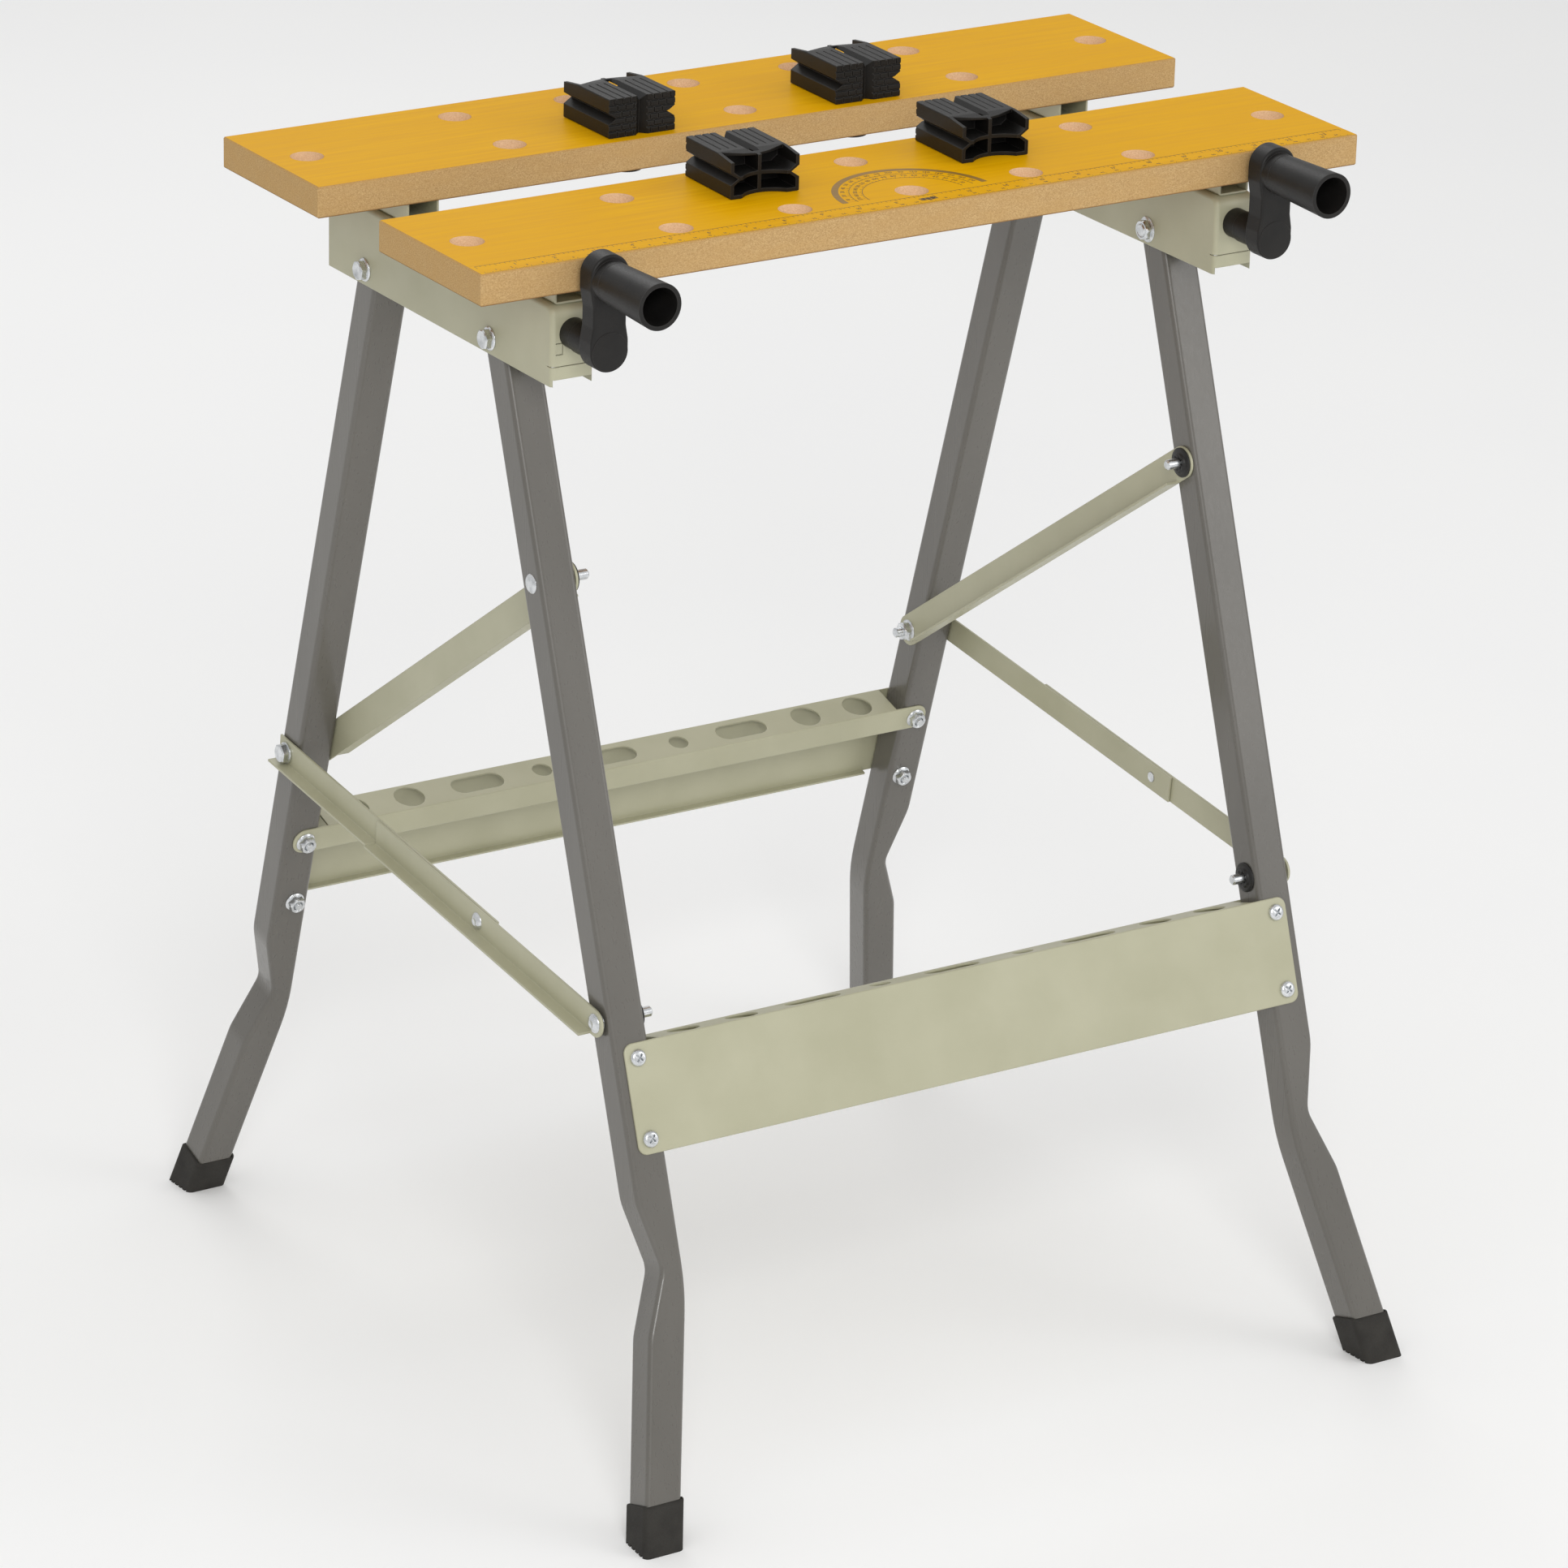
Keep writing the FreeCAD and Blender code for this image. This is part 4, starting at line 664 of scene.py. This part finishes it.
def add_turned(bm, start, out, rings, closed):
    """Rings of (distance back from start in mm, radius function) skinned into one solid."""
    side = out.orthogonal().normalized()
    other = out.cross(side)
    loops = []
    for distance, radius in rings:
        loop = []
        for k in range(SIDES):
            angle = math.tau * k / SIDES
            spoke = side * math.cos(angle) + other * math.sin(angle)
            loop.append(bm.verts.new(start - out * distance * MM + spoke * radius(angle)))
        loops.append(loop)
    pairs = list(zip(loops, loops[1:])) + ([(loops[-1], loops[0])] if closed else [])
    for first, second in pairs:
        for k in range(SIDES):
            after = (k + 1) % SIDES
            bm.faces.new((first[k], first[after], second[after], second[k]))
    if not closed:
        bm.faces.new(list(reversed(loops[0])))
        bm.faces.new(loops[-1])


def turned_piece(name, bm, body, slot):
    """A turned mesh as a piece, smooth except along its sharp corners."""
    made = piece(name, from_bmesh(name, bm), body, SLOT_MATERIALS[slot])
    made.data.shade_smooth()
    made.data.set_sharp_from_angle(angle=SHARP)
    return made


def fasteners(node, body, rings_for, axis=None, outward=1, closed=False):
    """Replace a node's plain fasteners by detailed ones on the same axes.

    The outer end faces along axis, or else along X: away from the bench's middle where
    outward is 1, towards it where outward is -1.
    """
    slot = next(r["material_slot"] for r in frame["record"]["subparts"] if r["node"] == node)
    bm = bmesh.new()
    for points in islands(node):
        out = axis if axis else X * (outward * math.copysign(1, middle_of(points).x))
        start, length = frame_of(points, out)
        add_turned(bm, start, out, rings_for(length), closed)
    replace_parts(turned_piece(node + "_detailed", bm, body, slot), node)


def hex_bolt(length):
    """A rail bolt: dished hexagon head on its flange, plain shank, chamfered end."""
    corner, head, flange = 6.4, 4.2, 5.6
    return [(0.5, disc(2.9)), (0.12, disc(3.8)), (0, hexagon(corner, 5.0)),
            (0.7, hexagon(corner, 6.15)), (head, hexagon(corner)), (head + 0.1, disc(6.5)),
            (flange - 0.6, disc(7.15)), (flange - 0.1, disc(7.2)), (flange, disc(7.0)),
            (flange, disc(RAIL_PIN)), (length - 0.8, disc(RAIL_PIN)), (length, disc(3.3))]


def flange_nut(corner, flange, flange_high, bore):
    """A nut seen from its hexagon's side: chamfered corners, dished flange, open bore."""
    def rings(length):
        high = length - flange_high
        return [(0, disc(bore + 0.5)), (0, hexagon(corner, corner * 0.84)),
                (0.8, hexagon(corner, corner * 0.97)), (high, hexagon(corner)),
                (high + 0.1, disc(corner)), (length - 0.3, disc(flange)),
                (length, disc(flange - 0.2)), (length, disc(bore)), (0.5, disc(bore))]
    return rings


def pan_screw(length):
    """A panel bolt: rounded head with a driver recess, threaded end."""
    recess = [(1.7, cross(2.0, 0.35)), (0.08, cross(2.9, 0.6))]
    head = [(0, disc(3.1)), (0.2, disc(3.8)), (0.7, disc(4.6)), (1.5, disc(5.05)),
            (2.3, disc(5.2)), (2.6, disc(5.1)), (2.6, disc(PANEL_PIN))]
    end = threads(length - 9, length - 0.6, PANEL_PIN, 1.0, 0.45) + [(length, disc(2.2))]
    return recess + head + end


def plain_hex_bolt(length):
    """A stay bolt: dished hexagon head without a flange."""
    corner, head = 6.5, 4.3
    return [(0.4, disc(2.6)), (0.1, disc(3.6)), (0, hexagon(corner, 5.1)),
            (0.7, hexagon(corner, 6.25)), (head - 0.2, hexagon(corner)),
            (head, hexagon(corner, 6.2)), (head, disc(LINK_PIN)),
            (length - 0.6, disc(LINK_PIN)), (length, disc(2.7))]


def stub_nut(length):
    """The strut's lower nut: a round threaded stub, the hexagon, then the flange."""
    reach, corner, top = 3.4, 6.3, 1.4
    stub = [(-reach, disc(2.6)), (-reach + 0.5, disc(LINK_PIN))]
    stub += threads(-reach + 0.8, 1.0, LINK_PIN, 0.8, 0.3)
    nut = [(top, disc(LINK_PIN)), (top, hexagon(corner, 5.2)), (top + 0.7, hexagon(corner, 6.1)),
           (top + 4.6, hexagon(corner)), (top + 4.7, disc(6.4)), (top + 5.5, disc(7.2)),
           (top + 5.8, disc(7.1)), (top + 5.8, disc(LINK_PIN))]
    return stub + nut + [(length, disc(LINK_PIN))]


def pivot_pin(head, high):
    """A riveted pin: low domed head outside, long plain shank, chamfered end inside."""
    def rings(length):
        shank = [(high, disc(LINK_PIN)), (length - 0.9, disc(LINK_PIN)), (length, disc(2.3))]
        return domed(head, high) + shank
    return rings


def rivet(head, high):
    """A rivet with a dimple in its domed head."""
    def rings(length):
        dimple = [(0.35, disc(1.3)), (0.05, disc(2.4))]
        return dimple + domed(head, high)[1:] + [(high, disc(LINK_PIN)), (length, disc(LINK_PIN))]
    return rings


def push_washer(length):
    """A dished spring washer with radial slits round its pin."""
    bore, rim = LINK_PIN + 0.1, 9.2
    slits, share = 8, 0.13
    return [(length - 1.2, toothed(bore, 6.4, slits, share)), (0.3, toothed(bore, 5.2, slits, share)),
            (0, disc(5.0)), (0.2, disc(5.6)), (length - 1.5, disc(6.4)), (length - 1.3, disc(8.7)),
            (length - 0.9, disc(rim)), (length - 0.1, disc(rim)), (length, disc(8.9)),
            (length, toothed(bore, 6.4, slits, share))]


def plain_washer(length):
    bore, rim = LINK_PIN + 0.1, 6.8
    return [(0, disc(bore)), (0, disc(6.5)), (0.3, disc(rim)), (length, disc(rim)),
            (length, disc(bore))]


def bolt_axis(node):
    """The direction of a panel's bolts, out of the bench: the way in which one is longest."""
    points = islands(node)[0]
    middle = middle_of(points)
    spokes = [p - middle for p in points]
    along = Y
    for _ in range(60):
        along = sum((spoke.dot(along) * spoke for spoke in spokes), Vector()).normalized()
    along = Vector((0, along.y, along.z)).normalized()
    return along * math.copysign(1, along.y * middle.y)


def all_fasteners():
    fasteners("pivot_bolts", "top", hex_bolt)
    fasteners("pivot_nuts", "top", flange_nut(6.7, 8.0, 1.2, RAIL_PIN), outward=-1, closed=True)
    for end, body in (("front", "front_legs"), ("rear", "rear_legs")):
        out = bolt_axis(end + "_panel_bolts")
        fasteners(end + "_panel_bolts", body, pan_screw, axis=out)
        fasteners(end + "_panel_nuts", body, flange_nut(5.6, 6.5, 1.3, PANEL_PIN), axis=-out,
                  closed=True)
    fasteners("strut_pins", "front_legs", pivot_pin(6.0, 1.9))
    fasteners("stay_pins", "front_legs", pivot_pin(5.5, 1.7))
    for node in ("strut_push_washers", "stay_push_washers"):
        fasteners(node, "front_legs", push_washer, outward=-1, closed=True)
    fasteners("stay_bolts", "rear_legs", plain_hex_bolt)
    fasteners("stay_washers", "rear_legs", plain_washer, closed=True)
    for side in ("left", "right"):
        fasteners("strut_nut_" + side, side + "_strut", stub_nut, outward=-1)
        fasteners("knee_rivet_" + side, side + "_front_stay", rivet(5.5, 2.3))
        fasteners("stay_pin_head_" + side, side + "_front_stay", rivet(6.0, 2.6))


all_fasteners()


# ---------------------------------------------------------------- crank details
CRANK_COLLAR = 6.3 * MM


def crank_plug(side):
    """The round cap over the vise screw's end, proud of the arm's face by a hair."""
    screw_low, screw_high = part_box("lead_screw_" + side)
    hub = (screw_low + screw_high) / 2
    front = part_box("crank_grip_" + side)[1].y + CRANK_COLLAR
    rings = [(-0.35, disc(0.5)), (-0.35, disc(11.0)), (-0.25, disc(11.5)), (0.3, disc(11.6)),
             (0.6, disc(11.6))]
    bm = bmesh.new()
    add_turned(bm, Vector((hub.x, front, hub.z)), -Y, rings, False)
    turned_piece("crank_plug_" + side, bm, "crank_" + side, "black_plastic")


for side in ("left", "right"):
    crank_plug(side)


# ---------------------------------------------------------------- floor, light and camera
FLOOR_REACH = 14.0
WORLD_STRENGTH = 0.7
LIGHTS = (  # name, place from the bench's middle, width across, watts
    ("key", Vector((-1.5, -3.0, 1.9)), 1.4, 46),
    ("fill", Vector((2.2, -2.4, 1.2)), 1.8, 14),
    ("back", Vector((0.6, 2.6, 2.2)), 1.6, 15),
)
CAMERA_PLACE = Vector((-2.1392, -3.3534, 1.8996))
CAMERA_AIM = Vector((0.50022, 0.78407, -0.36743))
CAMERA_ROLL = math.radians(1.453)
CAMERA_LENS, CAMERA_SENSOR = 159.2, 36


def studio_floor():
    bm = bmesh.new()
    bmesh.ops.create_grid(bm, x_segments=2, y_segments=2, size=FLOOR_REACH)
    mesh = from_bmesh("studio_floor", bm)
    floor = bpy.data.objects.new("studio_floor", mesh)
    scene.collection.objects.link(floor)
    paint = Paint("studio_floor", 0.7, Specular_IOR_Level=0.2)
    paint.into("Base Color", paint.blend(paint.noise(0.4, 2), linear(249, 249, 249),
                                         linear(252, 252, 251)))
    mesh.materials.append(paint.material)


def area_light(name, place, target, size, power):
    lamp = bpy.data.lights.new(name, "AREA")
    lamp.shape = "DISK"
    lamp.size = size
    lamp.energy = power
    holder = bpy.data.objects.new(name, lamp)
    scene.collection.objects.link(holder)
    holder.location = place
    holder.rotation_mode = "QUATERNION"
    holder.rotation_quaternion = (target - place).to_track_quat("-Z", "Y")


def studio_light():
    world = bpy.data.worlds.new("studio")
    world.use_nodes = True
    background = world.node_tree.nodes["Background"]
    background.inputs["Color"].default_value = (1, 1, 1, 1)
    background.inputs["Strength"].default_value = WORLD_STRENGTH
    scene.world = world
    centre = (cad_low + cad_high) / 2
    for name, offset, size, power in LIGHTS:
        area_light(name, centre + offset, centre, size, power)


def photo_camera():
    lens_data = bpy.data.cameras.new("camera")
    lens_data.lens = CAMERA_LENS
    lens_data.sensor_width = CAMERA_SENSOR
    camera = bpy.data.objects.new("camera", lens_data)
    scene.collection.objects.link(camera)
    camera.location = CAMERA_PLACE
    camera.rotation_mode = "QUATERNION"
    camera.rotation_quaternion = CAMERA_AIM.to_track_quat("-Z", "Y") @ Quaternion(Z, CAMERA_ROLL)
    lens_data.clip_start, lens_data.clip_end = 0.1, 100
    scene.camera = camera


studio_floor()
studio_light()
photo_camera()
scene.view_settings.view_transform = "Standard"
